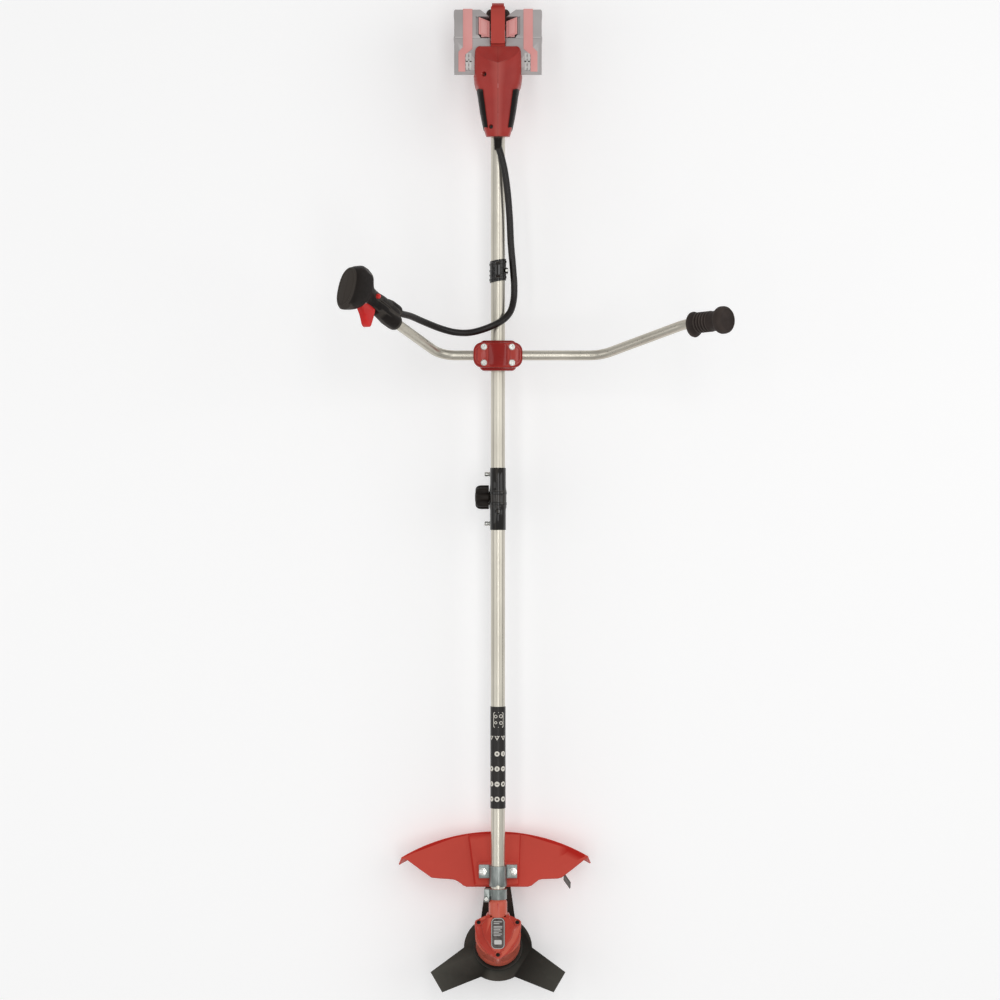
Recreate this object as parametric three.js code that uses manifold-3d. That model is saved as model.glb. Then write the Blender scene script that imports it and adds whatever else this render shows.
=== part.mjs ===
// Cordless brushcutter with a bicycle handlebar, a split shaft and a head motor.
// Millimetres. The shaft lies along Y with the batteries at +Y and the blade at -Y, +X is to the
// operator's left and +Z is up. The tool lies on its rear foot and the guard's skirt, and the
// origin is the middle of the rear foot's sole.
import * as THREE from 'three';
import { mergeVertices } from 'three/addons/utils/BufferGeometryUtils.js';
import Module from 'manifold-3d';

const wasm = await Module();
wasm.setup();

// ---------------------------------------------------------------- driving dimensions
const gap = 0.3;                // between neighbours that touch
const runClearance = 0.6;       // between pieces that move past each other
const axisHeight = 117;         // shaft axis above the ground

const tubeRadius = 12.5;
const tubeWall = 1.5;
const upperTubeLength = 680;    // from the rear end in the housing to the split
const lowerTubeLength = 731;    // from the split to the end in the motor's neck
const tubeRearY = -192;

const batteryWidth = 64;        // across, along X
const batteryLength = 114;
const batteryHeight = 75;
const batteryRearY = -13.4;
const batteryChamfer = [18.2, 14.2];
const buttonSize = [20, 37, 66];
const buttonTravel = 4;
const railSize = [3, 4];        // how far it stands out, and how thick it is
const railHeight = 16;          // above and below the axis
const railLength = 62;

const webThickness = 24.6;      // the stand's web between the batteries
const footSize = [43, 36, 12];

const housingWall = 2.6;
const housingLength = 107.6;    // in front of the batteries
const roofLength = 52;          // over the batteries

const harnessDistance = 233.5;  // harness clamp, from the housing's front
const harnessLength = 38;
const hookHoleRadius = 6;
const hookLug = [10, 26, 20];

const barDistance = 384.5;      // handlebar, from the housing's front
const barRadius = 8.7;
const barHeight = 27;           // above the shaft axis
const clampCapSize = [86, 44, 19];
const clampBlockSize = [65, 53];
const boltSpacing = [49.2, 27.8];
const boltRadius = 3;
const boltHeadRadius = 5.05;
const boltHeadHeight = 5;
const socketRadius = 2.4;

const couplingLength = 110;
const couplingWall = 1.4;
const knobRadius = 21.3;
const knobLength = 24;
const knobStudRadius = 4;

const sleeveLength = 180;
const sleeveWall = 0.7;
const sleeveDistance = 367;     // from the split to the sleeve

const headTilt = 30;            // between the shaft and the blade's plane, in degrees
const bladeDrop = 45;           // blade plane below the shaft axis, along the motor's axis
const bladeRadius = 128;
const bladeDiscRadius = 61;
const bladeThickness = 2;
const toothRoot = 31;           // half width where a tooth leaves the disc
const toothTip = 21.3;
const arborRadius = 12.5;
const motorRadius = 39.4;
const motorWall = 4;
const motorBottom = 12;         // above the blade's plane
const motorTop = 72;
const coverThickness = 8;
const coverScrewCircle = 39.5;
const neckRadius = 16.3;
const neckLength = 70;

const guardTilt = 35;
const guardRadius = 303;
const guardDepth = 107.7;       // from its front edge to its rear rim
const guardThickness = 3;
const skirtDepth = 46;
const skirtFlare = 12;
const panelRise = 5;

const neckBandLength = 21;

// ---------------------------------------------------------------- derived places
const splitY = tubeRearY - upperTubeLength;
const lowerTubeEndY = splitY - lowerTubeLength;
const tubeBore = tubeRadius - tubeWall;
const batteryFrontY = batteryRearY - batteryLength;
const housingRearY = batteryFrontY - gap;
const housingFrontY = housingRearY - housingLength;
const roofRearY = batteryFrontY + roofLength;
const batteryTop = batteryHeight / 2;
const harnessY = housingFrontY - harnessDistance;
const barY = housingFrontY - barDistance;
const webHalf = webThickness / 2;
const batteryInnerX = webHalf + 0.5;
const pivotY = lowerTubeEndY - 49;
const tilt = THREE.MathUtils.degToRad(headTilt);
const bladeCentre = [0, pivotY - bladeDrop * Math.sin(tilt), -bladeDrop * Math.cos(tilt)];
const neckStartY = pivotY + neckLength;
const bandY = neckStartY + neckBandLength / 2 + 1;
const guardFrontY = bandY + neckBandLength / 2;
const bracketY = guardFrontY + 27;

// ---------------------------------------------------------------- materials
function paint(color, roughness, metalness = 0) {
  return new THREE.MeshStandardMaterial({ color, roughness, metalness });
}

const red = paint(0xaa3a32, 0.45);
const guardRed = paint(0xc83c34, 0.45);
const motorRed = paint(0xcd4b37, 0.4);
const capRed = paint(0xa01e19, 0.2);
const buttonRed = paint(0xd72d2d, 0.4);
const black = paint(0x32302c, 0.5);
const glossBlack = paint(0x1e1c1a, 0.2);
const rubber = paint(0x463e3c, 0.85);
const aluminium = paint(0xbebaab, 0.35, 0.9);
const steel = paint(0xc8c8c4, 0.3, 1);
const zinc = paint(0x969b96, 0.35, 0.9);
const bladeSteel = paint(0x32322e, 0.6, 0.6);
const batteryGrey = paint(0x9e9896, 0.6);
const batteryPink = paint(0xe29694, 0.5);
const boardGreen = paint(0x1f5a36, 0.6);
const copper = paint(0xb06a3a, 0.4, 0.8);

// ---------------------------------------------------------------- solids
function toSolid(geometry) {
  const bare = geometry.clone();
  bare.deleteAttribute('normal');
  bare.deleteAttribute('uv');
  const merged = mergeVertices(bare, 1e-4);
  return new wasm.Manifold(new wasm.Mesh({
    numProp: 3,
    vertProperties: new Float32Array(merged.attributes.position.array),
    triVerts: new Uint32Array(merged.index.array),
  }));
}

function toGeometry(solid) {
  const made = solid.getMesh();
  const geometry = new THREE.BufferGeometry();
  geometry.setAttribute('position', new THREE.BufferAttribute(made.vertProperties, 3));
  geometry.setIndex(new THREE.BufferAttribute(made.triVerts, 1));
  geometry.computeVertexNormals();
  return geometry;
}

function unite(first, ...others) {
  return toGeometry(others.reduce((sum, other) => sum.add(toSolid(other)), toSolid(first)));
}

function cut(first, ...tools) {
  return toGeometry(tools.reduce((rest, tool) => rest.subtract(toSolid(tool)), toSolid(first)));
}

function common(first, ...others) {
  return toGeometry(others.reduce((sum, other) => sum.intersect(toSolid(other)), toSolid(first)));
}

function box(size, centre) {
  return new THREE.BoxGeometry(...size).translate(...centre);
}

// A box between two corners.
function span(low, high) {
  const size = high.map((value, i) => value - low[i]);
  return box(size, low.map((value, i) => value + size[i] / 2));
}

function aim(geometry, from, to) {
  const start = new THREE.Vector3(...from);
  const direction = new THREE.Vector3(...to).sub(start).normalize();
  const turn = new THREE.Quaternion().setFromUnitVectors(new THREE.Vector3(0, 1, 0), direction);
  return geometry.applyQuaternion(turn).translate(...from);
}

// A round bar between two points.
function rod(radius, from, to, sides = 20) {
  const length = new THREE.Vector3(...from).distanceTo(new THREE.Vector3(...to));
  const geometry = new THREE.CylinderGeometry(radius, radius, length, sides);
  return aim(geometry.translate(0, length / 2, 0), from, to);
}

// A turned piece: radius and distance pairs, from the start towards the end.
function turned(profile, from, to, sides = 24) {
  const points = profile.map(([radius, along]) => new THREE.Vector2(radius, along));
  return aim(new THREE.LatheGeometry(points, sides), from, to);
}

// A round sleeve between two points.
function sleeve(outer, inner, from, to, sides = 28) {
  const length = new THREE.Vector3(...from).distanceTo(new THREE.Vector3(...to));
  const profile = [[inner, 0], [outer, 0], [outer, length], [inner, length], [inner, 0]];
  return turned(profile, from, to, sides);
}

function outline(points) {
  return new THREE.Shape(points.map(([x, y]) => new THREE.Vector2(x, y)));
}

// A flat outline in X and Y, thickened along +Z from the given height, its rims eased by a bevel.
function slab(shape, low, high, ease = 0) {
  const geometry = new THREE.ExtrudeGeometry(shape, {
    depth: high - low - 2 * ease,
    bevelEnabled: ease > 0,
    bevelThickness: ease,
    bevelSize: ease,
    bevelOffset: -ease,
    bevelSegments: 1,
    curveSegments: 5,
  });
  return geometry.translate(0, 0, low + ease);
}

// An outline in Y and Z, thickened to both sides of X = 0.
function web(shape, thickness, ease = 0) {
  const turn = new THREE.Matrix4().makeBasis(
    new THREE.Vector3(0, 1, 0), new THREE.Vector3(0, 0, 1), new THREE.Vector3(1, 0, 0));
  return slab(shape, -thickness / 2, thickness / 2, ease).applyMatrix4(turn);
}

function roundedRectangle(width, length, radius) {
  const x = width / 2;
  const y = length / 2;
  const shape = new THREE.Shape();
  shape.moveTo(-x + radius, -y);
  shape.lineTo(x - radius, -y);
  shape.absarc(x - radius, -y + radius, radius, -Math.PI / 2, 0);
  shape.lineTo(x, y - radius);
  shape.absarc(x - radius, y - radius, radius, 0, Math.PI / 2);
  shape.lineTo(-x + radius, y);
  shape.absarc(-x + radius, y - radius, radius, Math.PI / 2, Math.PI);
  shape.lineTo(-x, -y + radius);
  shape.absarc(-x + radius, -y + radius, radius, Math.PI, Math.PI * 1.5);
  return shape;
}

// A skin through rings of points, one ring for each station along Y. ring(station, k) gives the
// X and Z of point k, counted from the top towards +X.
function loft(stations, sides, ring) {
  const geometry = new THREE.CylinderGeometry(1, 1, 1, sides, stations.length - 1);
  const place = geometry.attributes.position;
  for (let i = 0; i < place.count; i += 1) {
    const index = Math.round((place.getY(i) + 0.5) * (stations.length - 1));
    const station = stations[index];
    const turn = Math.atan2(place.getX(i), place.getZ(i)) / (2 * Math.PI);
    const k = Math.round((turn + 1) * sides) % sides;
    const onRim = Math.hypot(place.getX(i), place.getZ(i)) > 0.5;
    const middle = (ring(station, 0)[1] + ring(station, sides / 2)[1]) / 2;
    const [x, z] = onRim ? ring(station, k) : [0, middle];
    place.setXYZ(i, x, station.y, z);
  }
  return geometry;
}

const tool = new THREE.Group();
tool.position.z = axisHeight;

function add(name, geometry, material) {
  const mesh = new THREE.Mesh(geometry, material);
  mesh.name = name;
  tool.add(mesh);
}

// ---------------------------------------------------------------- tubes and wiring
function buildTubes() {
  add('upper_tube', sleeve(tubeRadius, tubeBore, [0, tubeRearY, 0], [0, splitY + gap, 0]), aluminium);
  const lowerStart = [0, splitY - gap, 0];
  add('lower_tube', sleeve(tubeRadius, tubeBore, lowerStart, [0, lowerTubeEndY, 0]), aluminium);
}

// A lead down the tube's bore that ends in a round plug at the split.
function lead(farY, side) {
  const wireRadius = 4;
  const plugRadius = tubeBore - 2;
  const plugLength = 24;
  const start = [0, splitY + side * 2, 0];
  const length = Math.abs(farY - start[1]);
  const profile = [
    [0, 0], [plugRadius, 0], [plugRadius, plugLength], [wireRadius, plugLength + 4],
    [wireRadius, length], [0, length],
  ];
  return turned(profile, start, [0, farY, 0], 16);
}

function buildWiring() {
  add('upper_wiring', lead(tubeRearY + 6, 1), black);
  add('lower_wiring', lead(lowerTubeEndY - 2, -1), black);
}

// ---------------------------------------------------------------- battery housing
// Half width, crest and belly of the housing along Y, from the front end to the roof's rear edge.
const housingStations = [
  { y: housingFrontY, width: 18.5, crest: 36, belly: -18 },
  { y: housingFrontY + 7, width: 21.5, crest: 38.5, belly: -22 },
  { y: housingFrontY + 16, width: 24.5, crest: 42, belly: -28 },
  { y: housingFrontY + 38, width: 31.5, crest: 48, belly: -40 },
  { y: housingFrontY + 47, width: 33.5, crest: 50, belly: -44 },
  { y: housingFrontY + 89, width: 37, crest: batteryTop + 20, belly: -52 },
  { y: housingRearY, width: 42.4, crest: batteryTop + 22, belly: -54 },
  { y: roofRearY - 25, width: 43.8, crest: batteryTop + 22.5, belly: -54 },
  { y: roofRearY - 9, width: 43.5, crest: batteryTop + 17, belly: -54 },
  { y: roofRearY, width: 38, crest: batteryTop + 10, belly: -54 },
];

function housingAt(y) {
  const next = Math.max(1, housingStations.findIndex((station) => station.y >= y));
  const low = housingStations[next - 1];
  const high = housingStations[next];
  const share = (y - low.y) / (high.y - low.y);
  const mix = (key) => low[key] + (high[key] - low[key]) * share;
  return { y, width: mix('width'), crest: mix('crest'), belly: mix('belly') };
}

// The housing's roof has a ridge along the middle and eaves near the sides.
function housingRing(station, k) {
  const { width, crest, belly } = station;
  const half = [
    [0, crest],
    [0.5 * width, crest - 0.16 * width],
    [0.93 * width, crest - 0.36 * width],
    [width, (crest + belly) / 2],
    [0.9 * width, belly + 0.25 * width],
    [0.5 * width, belly + 0.02 * width],
    [0, belly],
  ];
  const [x, z] = half[k <= 6 ? k : 12 - k];
  return [k <= 6 ? x : -x, z];
}

function housingLoft(low, high, inset) {
  const inner = housingStations.map(({ y }) => y).filter((y) => y > low && y < high);
  const stations = [low, ...inner, high].map((y) => {
    const { width, crest, belly } = housingAt(y);
    return { y, width: width - inset, crest: crest - inset, belly: belly + inset };
  });
  return loft(stations, 12, housingRing);
}

const glandRadius = 7.5;
const cableRadius = 6;
const glandHeight = tubeRadius + 9.5;
const collarY = housingFrontY + 31;      // where the solid collar round the tube begins
const rearScrew = { x: -22.8, y: batteryFrontY + 3.4, z: batteryTop + 8.5 };
const frontScrew = { x: -10.3, y: housingFrontY + 16, z: 33 };
const housingScrewRadius = 2;
const housingScrewHead = 3.6;
const terminalX = [21, 37];
const terminalHeight = 22;

function screwRecess({ x, y, z }) {
  const shank = rod(housingScrewRadius + gap, [x - 1, y, z], [9.5, y, z], 12);
  const pocket = rod(housingScrewHead + 1, [x, y, z], [-70, y, z], 16);
  return unite(shank, pocket);
}

function housingBody() {
  const outer = housingLoft(housingFrontY, roofRearY, 0);
  const wide = 100;
  const tools = [
    span([-wide, housingRearY, -wide], [wide, 0, batteryTop + 0.7]),
    housingLoft(collarY, housingRearY - housingWall, housingWall),
    rod(tubeRadius + gap, [0, housingFrontY - 5, 0], [0, collarY + 5, 0]),
    rod(glandRadius + gap, [0, housingFrontY - 5, glandHeight], [0, housingFrontY + 14, glandHeight], 16),
    screwRecess(rearScrew),
    screwRecess(frontScrew),
  ];
  for (const side of [-1, 1]) {
    const [near, far] = terminalX.map((x) => side * x);
    const low = [Math.min(near, far) - gap, housingRearY - housingWall - 5, -terminalHeight / 2 - gap];
    const high = [Math.max(near, far) + gap, housingRearY + 5, terminalHeight / 2 + gap];
    tools.push(span(low, high));
  }
  return cut(outer, ...tools);
}

function buildHousing() {
  const body = housingBody();
  const wide = 150;
  for (const [side, name] of [[-1, 'left'], [1, 'right']]) {
    const keep = box([wide, 800, 2 * wide], [side * (wide / 2 + gap / 2), housingFrontY, 0]);
    add(`housing_shell_${name}`, common(body, keep), red);
    add(`side_pad_${name}`, sidePad(side), black);
  }
  add('housing_screw_rear', shellScrew(rearScrew), steel);
  add('housing_screw_front', shellScrew(frontScrew), steel);
}

function shellScrew({ x, y, z }) {
  const head = 2.4;
  const length = 9 - x;
  const profile = [
    [0, 0], [housingScrewHead, 0], [housingScrewHead, head], [housingScrewRadius, head],
    [housingScrewRadius, length + head], [0, length + head],
  ];
  return turned(profile, [x - head - gap, y, z], [x + 1, y, z], 16);
}

// A soft pad on the housing's flank, along the eaves.
function sidePad(side) {
  const padThickness = 2.4;
  const low = housingFrontY + 17;
  const high = housingFrontY + 87;
  const skin = cut(housingLoft(low, high, -padThickness), housingLoft(low - 5, high + 5, -gap));
  const inner = (y) => side * 0.8 * housingAt(y).width;
  const outer = (y) => side * (housingAt(y).width + 10);
  const plan = outline([[inner(low), low], [outer(low), low], [outer(high), high], [inner(high), high]]);
  return common(skin, slab(plan, -26, 70));
}

// ---------------------------------------------------------------- what the housing holds
function buildElectronics() {
  const boardLow = [-27, collarY + 12, -27];
  const boardHigh = [27, housingRearY - housingWall - 10, -25.4];
  const board = span(boardLow, boardHigh);
  const capacitor = rod(7, [-10, collarY + 26, -25.5], [-10, collarY + 26, -8], 16);
  const heatSink = span([4, collarY + 18, -25.5], [22, collarY + 44, -13]);
  add('control_board', unite(board, capacitor, heatSink), boardGreen);

  const backY = housingRearY - housingWall - gap;
  const plateHalf = terminalX[1] - 2;
  const plate = span(
    [-plateHalf, backY - 4, -terminalHeight / 2], [plateHalf, backY, terminalHeight / 2]);
  const noses = [-1, 1].map((side) => {
    const [near, far] = terminalX.map((x) => side * x);
    const low = [Math.min(near, far), backY - 4, -terminalHeight / 2];
    const high = [Math.max(near, far), housingRearY - gap, terminalHeight / 2];
    return span(low, high);
  });
  add('terminal_carrier', unite(plate, ...noses), black);

  const glandStart = [0, housingFrontY + 13.5, glandHeight];
  const glandEnd = [0, housingFrontY - 2, glandHeight];
  add('cable_gland', rod(glandRadius, glandStart, glandEnd, 16), rubber);
}

// ---------------------------------------------------------------- stand, foot and batteries
function buildStand() {
  const soleTop = -axisHeight + footSize[2] + gap;
  const shape = outline([
    [batteryFrontY, batteryTop + 0.3], [batteryFrontY, -30], [-84, -46], [-34, -78], [-16, soleTop],
    [16, soleTop], [15, -92], [2, -40], [-9, 16], [-16, batteryTop], [-24, batteryTop + 7],
    [-40, batteryTop + 9.5], [roofRearY + 0.5, batteryTop + 9.5], [roofRearY + 0.5, batteryTop + 0.3],
  ]);
  const rails = [-1, 1].flatMap((side) => [-railHeight, railHeight].map((z) => box(
    [2 * railSize[0], railLength, railSize[1]],
    [side * webHalf, batteryFrontY + 1 + railLength / 2, z],
  )));
  add('rear_stand', unite(web(shape, webThickness, 1.5), ...rails), red);

  const sole = roundedRectangle(footSize[0], footSize[1], 9);
  add('rear_foot', slab(sole, -axisHeight, -axisHeight + footSize[2], 1.5), rubber);
}

const buttonY = batteryRearY - 12 - buttonSize[1] / 2;

function batteryCase(side) {
  const x = (value) => side * (batteryInnerX + value);
  const plan = outline([
    [x(0), batteryFrontY], [x(batteryWidth), batteryFrontY], [x(batteryWidth), batteryRearY],
    [x(batteryChamfer[0]), batteryRearY], [x(0), batteryRearY - batteryChamfer[1]],
  ]);
  const pocketWidth = 2 * (buttonSize[0] + buttonTravel + 2 * runClearance + 2);
  const pocket = box(
    [pocketWidth, buttonSize[1] + 2 * runClearance, buttonSize[2]],
    [x(0), buttonY, batteryTop - buttonSize[2] / 2 + 5],
  );
  const grooves = [-railHeight, railHeight].map((z) => box(
    [2 * (railSize[0] + 0.2), railLength + 20, railSize[1] + 2 * runClearance],
    [x(0), batteryFrontY - 6 + railLength / 2, z],
  ));
  return cut(slab(plan, -batteryTop, batteryTop, 3), pocket, ...grooves);
}

function batteryButton(side) {
  const middle = side * (batteryInnerX + 2 + buttonSize[0] / 2);
  const height = buttonSize[2] - 6;
  const shape = roundedRectangle(buttonSize[0], buttonSize[1], 3);
  const block = slab(shape, batteryTop - height, batteryTop - 0.2, 1.2);
  return block.translate(middle, buttonY, 0);
}

function buildBatteries() {
  for (const [side, name] of [[-1, 'left'], [1, 'right']]) {
    add(`battery_${name}`, batteryCase(side), batteryGrey);
    add(`battery_button_${name}`, batteryButton(side), batteryPink);
  }
}

// ---------------------------------------------------------------- harness clamp
function buildHarnessClamp() {
  const inner = tubeRadius + gap;
  const outer = inner + 1.9;
  const half = harnessLength / 2;
  const band = sleeve(outer, inner, [0, harnessY - half, 0], [0, harnessY + half, 0]);
  const lug = web(roundedRectangle(hookLug[1], hookLug[2], 7), hookLug[0]);
  lug.translate(0, harnessY, inner + hookLug[2] / 2);
  const eyeHeight = inner + hookLug[2] / 2 + 1.5;
  const eye = rod(hookHoleRadius, [-20, harnessY, eyeHeight], [20, harnessY, eyeHeight], 20);
  const ear = span([inner + 0.2, harnessY - 5, -9], [inner + 5.2, harnessY + 5, 9]);
  const screwX = inner + 2.8;
  const slit = span([inner - 2, harnessY - half - 1, -0.8], [inner + 8, harnessY + half + 1, 0.8]);
  const bore = rod(tubeRadius + gap, [0, harnessY - 40, 0], [0, harnessY + 40, 0]);
  const screwHole = rod(1.5 + gap, [screwX, harnessY, -6], [screwX, harnessY, 12], 12);
  const body = cut(unite(band, lug, ear), bore, eye, slit, screwHole);
  add('harness_clamp', body, glossBlack);

  const screw = [[0, 0], [1.5, 0], [1.5, 14.7], [2.6, 14.7], [2.6, 17], [0, 17]];
  const screwStart = [screwX, harnessY, -5.4];
  add('harness_clamp_screw', turned(screw, screwStart, [screwX, harnessY, 0], 12), steel);
}

// ---------------------------------------------------------------- handlebar clamp
const blockTop = barHeight - 0.4;
const capTop = barHeight + 0.4 + clampCapSize[2];
const saddleTop = -0.5;
const saddleBottom = -tubeRadius - 4;
const boltPlaces = [[-1, 1], [1, 1], [-1, -1], [1, -1]].map(([x, y]) => [
  x * boltSpacing[0] / 2, barY + y * boltSpacing[1] / 2,
]);

function clampPiece(width, length, radius, low, high, ease) {
  const shape = roundedRectangle(width, length, radius);
  const body = slab(shape, low, high, ease).translate(0, barY, 0);
  const bar = rod(barRadius + gap, [-80, barY, barHeight], [80, barY, barHeight]);
  const tube = rod(tubeRadius + gap, [0, barY - 60, 0], [0, barY + 60, 0]);
  const holes = boltPlaces.map(([x, y]) => rod(
    boltRadius + gap, [x, y, saddleBottom + 3], [x, y, capTop + 9], 12));
  return cut(body, bar, tube, ...holes);
}

function buildBarClamp() {
  const [width, length] = clampBlockSize;
  add('clamp_cap', clampPiece(clampCapSize[0], clampCapSize[1], 15, barHeight + 0.4, capTop, 3), capRed);
  add('clamp_block', clampPiece(width, length, 9, saddleTop + 1, blockTop, 1), capRed);
  add('clamp_saddle', clampPiece(width, length - 12, 9, saddleBottom, saddleTop, 1), capRed);
  const reach = capTop - saddleBottom - 3.6;
  const bolt = [
    [0, 0], [boltRadius, 0], [boltRadius, reach + gap], [boltHeadRadius, reach + gap],
    [boltHeadRadius, reach + boltHeadHeight], [socketRadius, reach + boltHeadHeight],
    [socketRadius, reach + 2.2], [0, reach + 2.2],
  ];
  boltPlaces.forEach(([x, y], i) => {
    const start = [x, y, saddleBottom + 3.6];
    add(`clamp_bolt_${i + 1}`, turned(bolt, start, [x, y, capTop], 16), steel);
  });
}

// ---------------------------------------------------------------- handlebar and plain grip
const leftBend = new THREE.Vector3(-100, barY, barHeight);
const leftNeck = new THREE.Vector3(-178.8, barY + 51, barHeight + 120);
const rightBend = new THREE.Vector3(181, barY, barHeight);
const gripFoot = new THREE.Vector3(328, barY + 46.5, barHeight + 121);
const gripTop = new THREE.Vector3(381, barY + 48.5, barHeight + 175.5);
const leftArm = leftNeck.clone().sub(leftBend).normalize();
const gripLine = gripTop.clone().sub(gripFoot).normalize();
const barInGrip = 46;

// Straight runs joined by soft bends at the given corners.
function bentPath(points, reaches) {
  const path = new THREE.CurvePath();
  let last = points[0];
  for (let i = 1; i < points.length - 1; i += 1) {
    const corner = points[i];
    const into = corner.clone().sub(points[i - 1]).normalize();
    const out = points[i + 1].clone().sub(corner).normalize();
    const start = corner.clone().addScaledVector(into, -reaches[i - 1]);
    const end = corner.clone().addScaledVector(out, reaches[i - 1]);
    path.add(new THREE.LineCurve3(last, start));
    path.add(new THREE.QuadraticBezierCurve3(start, corner, end));
    last = end;
  }
  path.add(new THREE.LineCurve3(last, points[points.length - 1]));
  return path;
}

function circle(radius, sides) {
  const points = [];
  for (let k = 0; k < sides; k += 1) {
    const angle = (2 * Math.PI * k) / sides;
    points.push([radius * Math.cos(angle), radius * Math.sin(angle)]);
  }
  return outline(points);
}

function sweep(path, radius, sides, steps) {
  const options = { steps, extrudePath: path, bevelEnabled: false };
  return new THREE.ExtrudeGeometry(circle(radius, sides), options);
}

function buildHandlebar() {
  const points = [
    leftNeck.clone().addScaledVector(leftArm, barInGrip), leftBend, rightBend,
    gripFoot.clone().addScaledVector(gripLine, -12), gripTop.clone().addScaledVector(gripLine, -14),
  ];
  add('handlebar', sweep(bentPath(points, [28, 22, 12]), barRadius, 12, 50), aluminium);
}

function buildPlainGrip() {
  const start = gripFoot.clone().addScaledVector(gripLine, 4);
  const length = start.distanceTo(gripTop);
  const hole = barRadius + gap;
  const ribs = [];
  for (let k = 0; k < 5; k += 1) {
    ribs.push([15.4, 15 + 5 * k], [17.2, 16.5 + 5 * k], [17.2, 18 + 5 * k]);
  }
  const profile = [
    [hole, 0], [18, 0], [20.5, 3], [20.5, 7], [18, 11], ...ribs, [16.2, 42], [17.2, length - 12],
    [23, length - 8], [23.4, length], [19, length + 6], [0, length + 7], [0, length - 13],
    [hole, length - 13], [hole, 0],
  ];
  add('plain_grip', turned(profile, start.toArray(), gripTop.toArray(), 18), rubber);
}

// ---------------------------------------------------------------- control grip
// The grip's own frame: Z runs along the bar to the grip's top, Y points to the operator's palm.
const palm = new THREE.Vector3(0, 1, 0).addScaledVector(leftArm, -leftArm.y).normalize();
const across = palm.clone().cross(leftArm);
const gripFrame = new THREE.Matrix4().makeBasis(across, palm, leftArm).setPosition(leftNeck);

// Height along the bar, middle towards the palm, and half sizes along Y and X.
const gripStations = [
  { y: -4, middle: 9.5, deep: 22, wide: 12.4 },
  { y: 0, middle: 9.5, deep: 23.5, wide: 14 },
  { y: 30, middle: 10, deep: 24, wide: 15 },
  { y: 50, middle: 9, deep: 23.5, wide: 16 },
  { y: 60, middle: 14, deep: 19, wide: 16 },
  { y: 82, middle: 15, deep: 20, wide: 17 },
  { y: 93, middle: 19, deep: 30, wide: 20 },
  { y: 104, middle: 15, deep: 34, wide: 21.5 },
  { y: 122, middle: 7, deep: 35, wide: 21.5 },
  { y: 136, middle: 0, deep: 33.5, wide: 20 },
  { y: 141, middle: 0, deep: 29, wide: 15.5 },
];
const gripSides = 20;
const triggerPivot = [0, -8, 96];
const triggerPinRadius = 2;
const triggerThickness = 13;
const moduleLow = [-9, 9, 59];
const moduleHigh = [9, 21, 91];
const lockOffPlace = [13, 12, 75];
const lockOffRadius = 4.2;

function gripSolid() {
  const body = loft(gripStations, gripSides, ({ middle, deep, wide }, k) => {
    const angle = (2 * Math.PI * k) / gripSides;
    return [-wide * Math.sin(angle), -deep * Math.cos(angle) - middle];
  });
  // The loft runs along Y: stand it up along Z, which brings its palm side to +Y.
  return body.rotateX(Math.PI / 2);
}

function buildControlGrip() {
  const inFrame = (geometry) => geometry.applyMatrix4(gripFrame);
  const grow = (low, high, by) => span(low.map((v) => v - by), high.map((v) => v + by));
  const slotHalf = triggerThickness / 2 + runClearance;
  const [buttonX, buttonY, buttonZ] = lockOffPlace;
  const body = cut(
    gripSolid(),
    rod(barRadius + gap, [0, 0, -20], [0, 0, barInGrip + gap], 24),
    grow(moduleLow, moduleHigh, gap + 0.1),
    span([-slotHalf, -60, 50], [slotHalf, 8.6, 106]),
    crossRod(triggerPinRadius + gap, 12),
    rod(lockOffRadius + runClearance, [9, buttonY, buttonZ], [40, buttonY, buttonZ], 16),
  );
  const wide = 60;
  for (const [side, name] of [[-1, 'left'], [1, 'right']]) {
    const keep = box([wide, 200, 400], [side * (wide / 2 + gap / 2), 0, 60]);
    add(`grip_shell_${name}`, inFrame(common(body, keep)), black);
  }
  add('switch_module', inFrame(span(moduleLow, moduleHigh)), glossBlack);
  add('trigger_pin', inFrame(crossRod(triggerPinRadius, 11.5)), steel);
  add('trigger', inFrame(triggerLever()), buttonRed);

  const dome = [
    [0, 0], [lockOffRadius, 0], [lockOffRadius, 7], [lockOffRadius - 1.2, 9], [0, 9.4],
  ];
  const start = [buttonX, buttonY, buttonZ];
  add('lock_off_button', inFrame(turned(dome, start, [buttonX + 1, buttonY, buttonZ], 16)), buttonRed);
}

// A rod across the grip on the trigger's pivot.
function crossRod(radius, half) {
  const [, y, z] = triggerPivot;
  return rod(radius, [-half, y, z], [half, y, z], 12);
}

function triggerLever() {
  const side = outline([
    [-5, 56], [-11, 56], [-26, 64], [-38, 71], [-40, 76], [-37, 83], [-25, 92], [-15, 102],
    [-3, 104], [-1, 90],
  ]);
  const lever = slab(side, -triggerThickness / 2, triggerThickness / 2, 1.2);
  // Slab outlines lie in X and Y: send them to the grip's Y and Z.
  const turn = new THREE.Matrix4().makeBasis(
    new THREE.Vector3(0, 1, 0), new THREE.Vector3(0, 0, 1), new THREE.Vector3(1, 0, 0));
  lever.applyMatrix4(turn);
  return cut(lever, crossRod(triggerPinRadius + gap, 20));
}

// ---------------------------------------------------------------- control cable
// Hand-chosen points from the gland to the grip's neck; heights are above the tube's top.
const cableRoute = [
  [0, -237.6, 9.5], [0.1, -249, 9.5], [5.4, -267, 8.9], [11.5, -293, 6.9], [17, -332, 3],
  [20.8, -378, -3.5], [22.8, -420, -9.5], [26.6, -463, -14.5], [28.8, -497, -15], [27.5, -521, -12],
  [22, -541, -4.5], [12, -554, 3], [-1, -563, 8.3], [-25, -573.5, 12], [-50, -580, 17],
  [-75, -580, 25.5], [-100, -574.5, 39.5], [-128, -565, 63.5], [-150, -557.2, 90.5],
];

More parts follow.
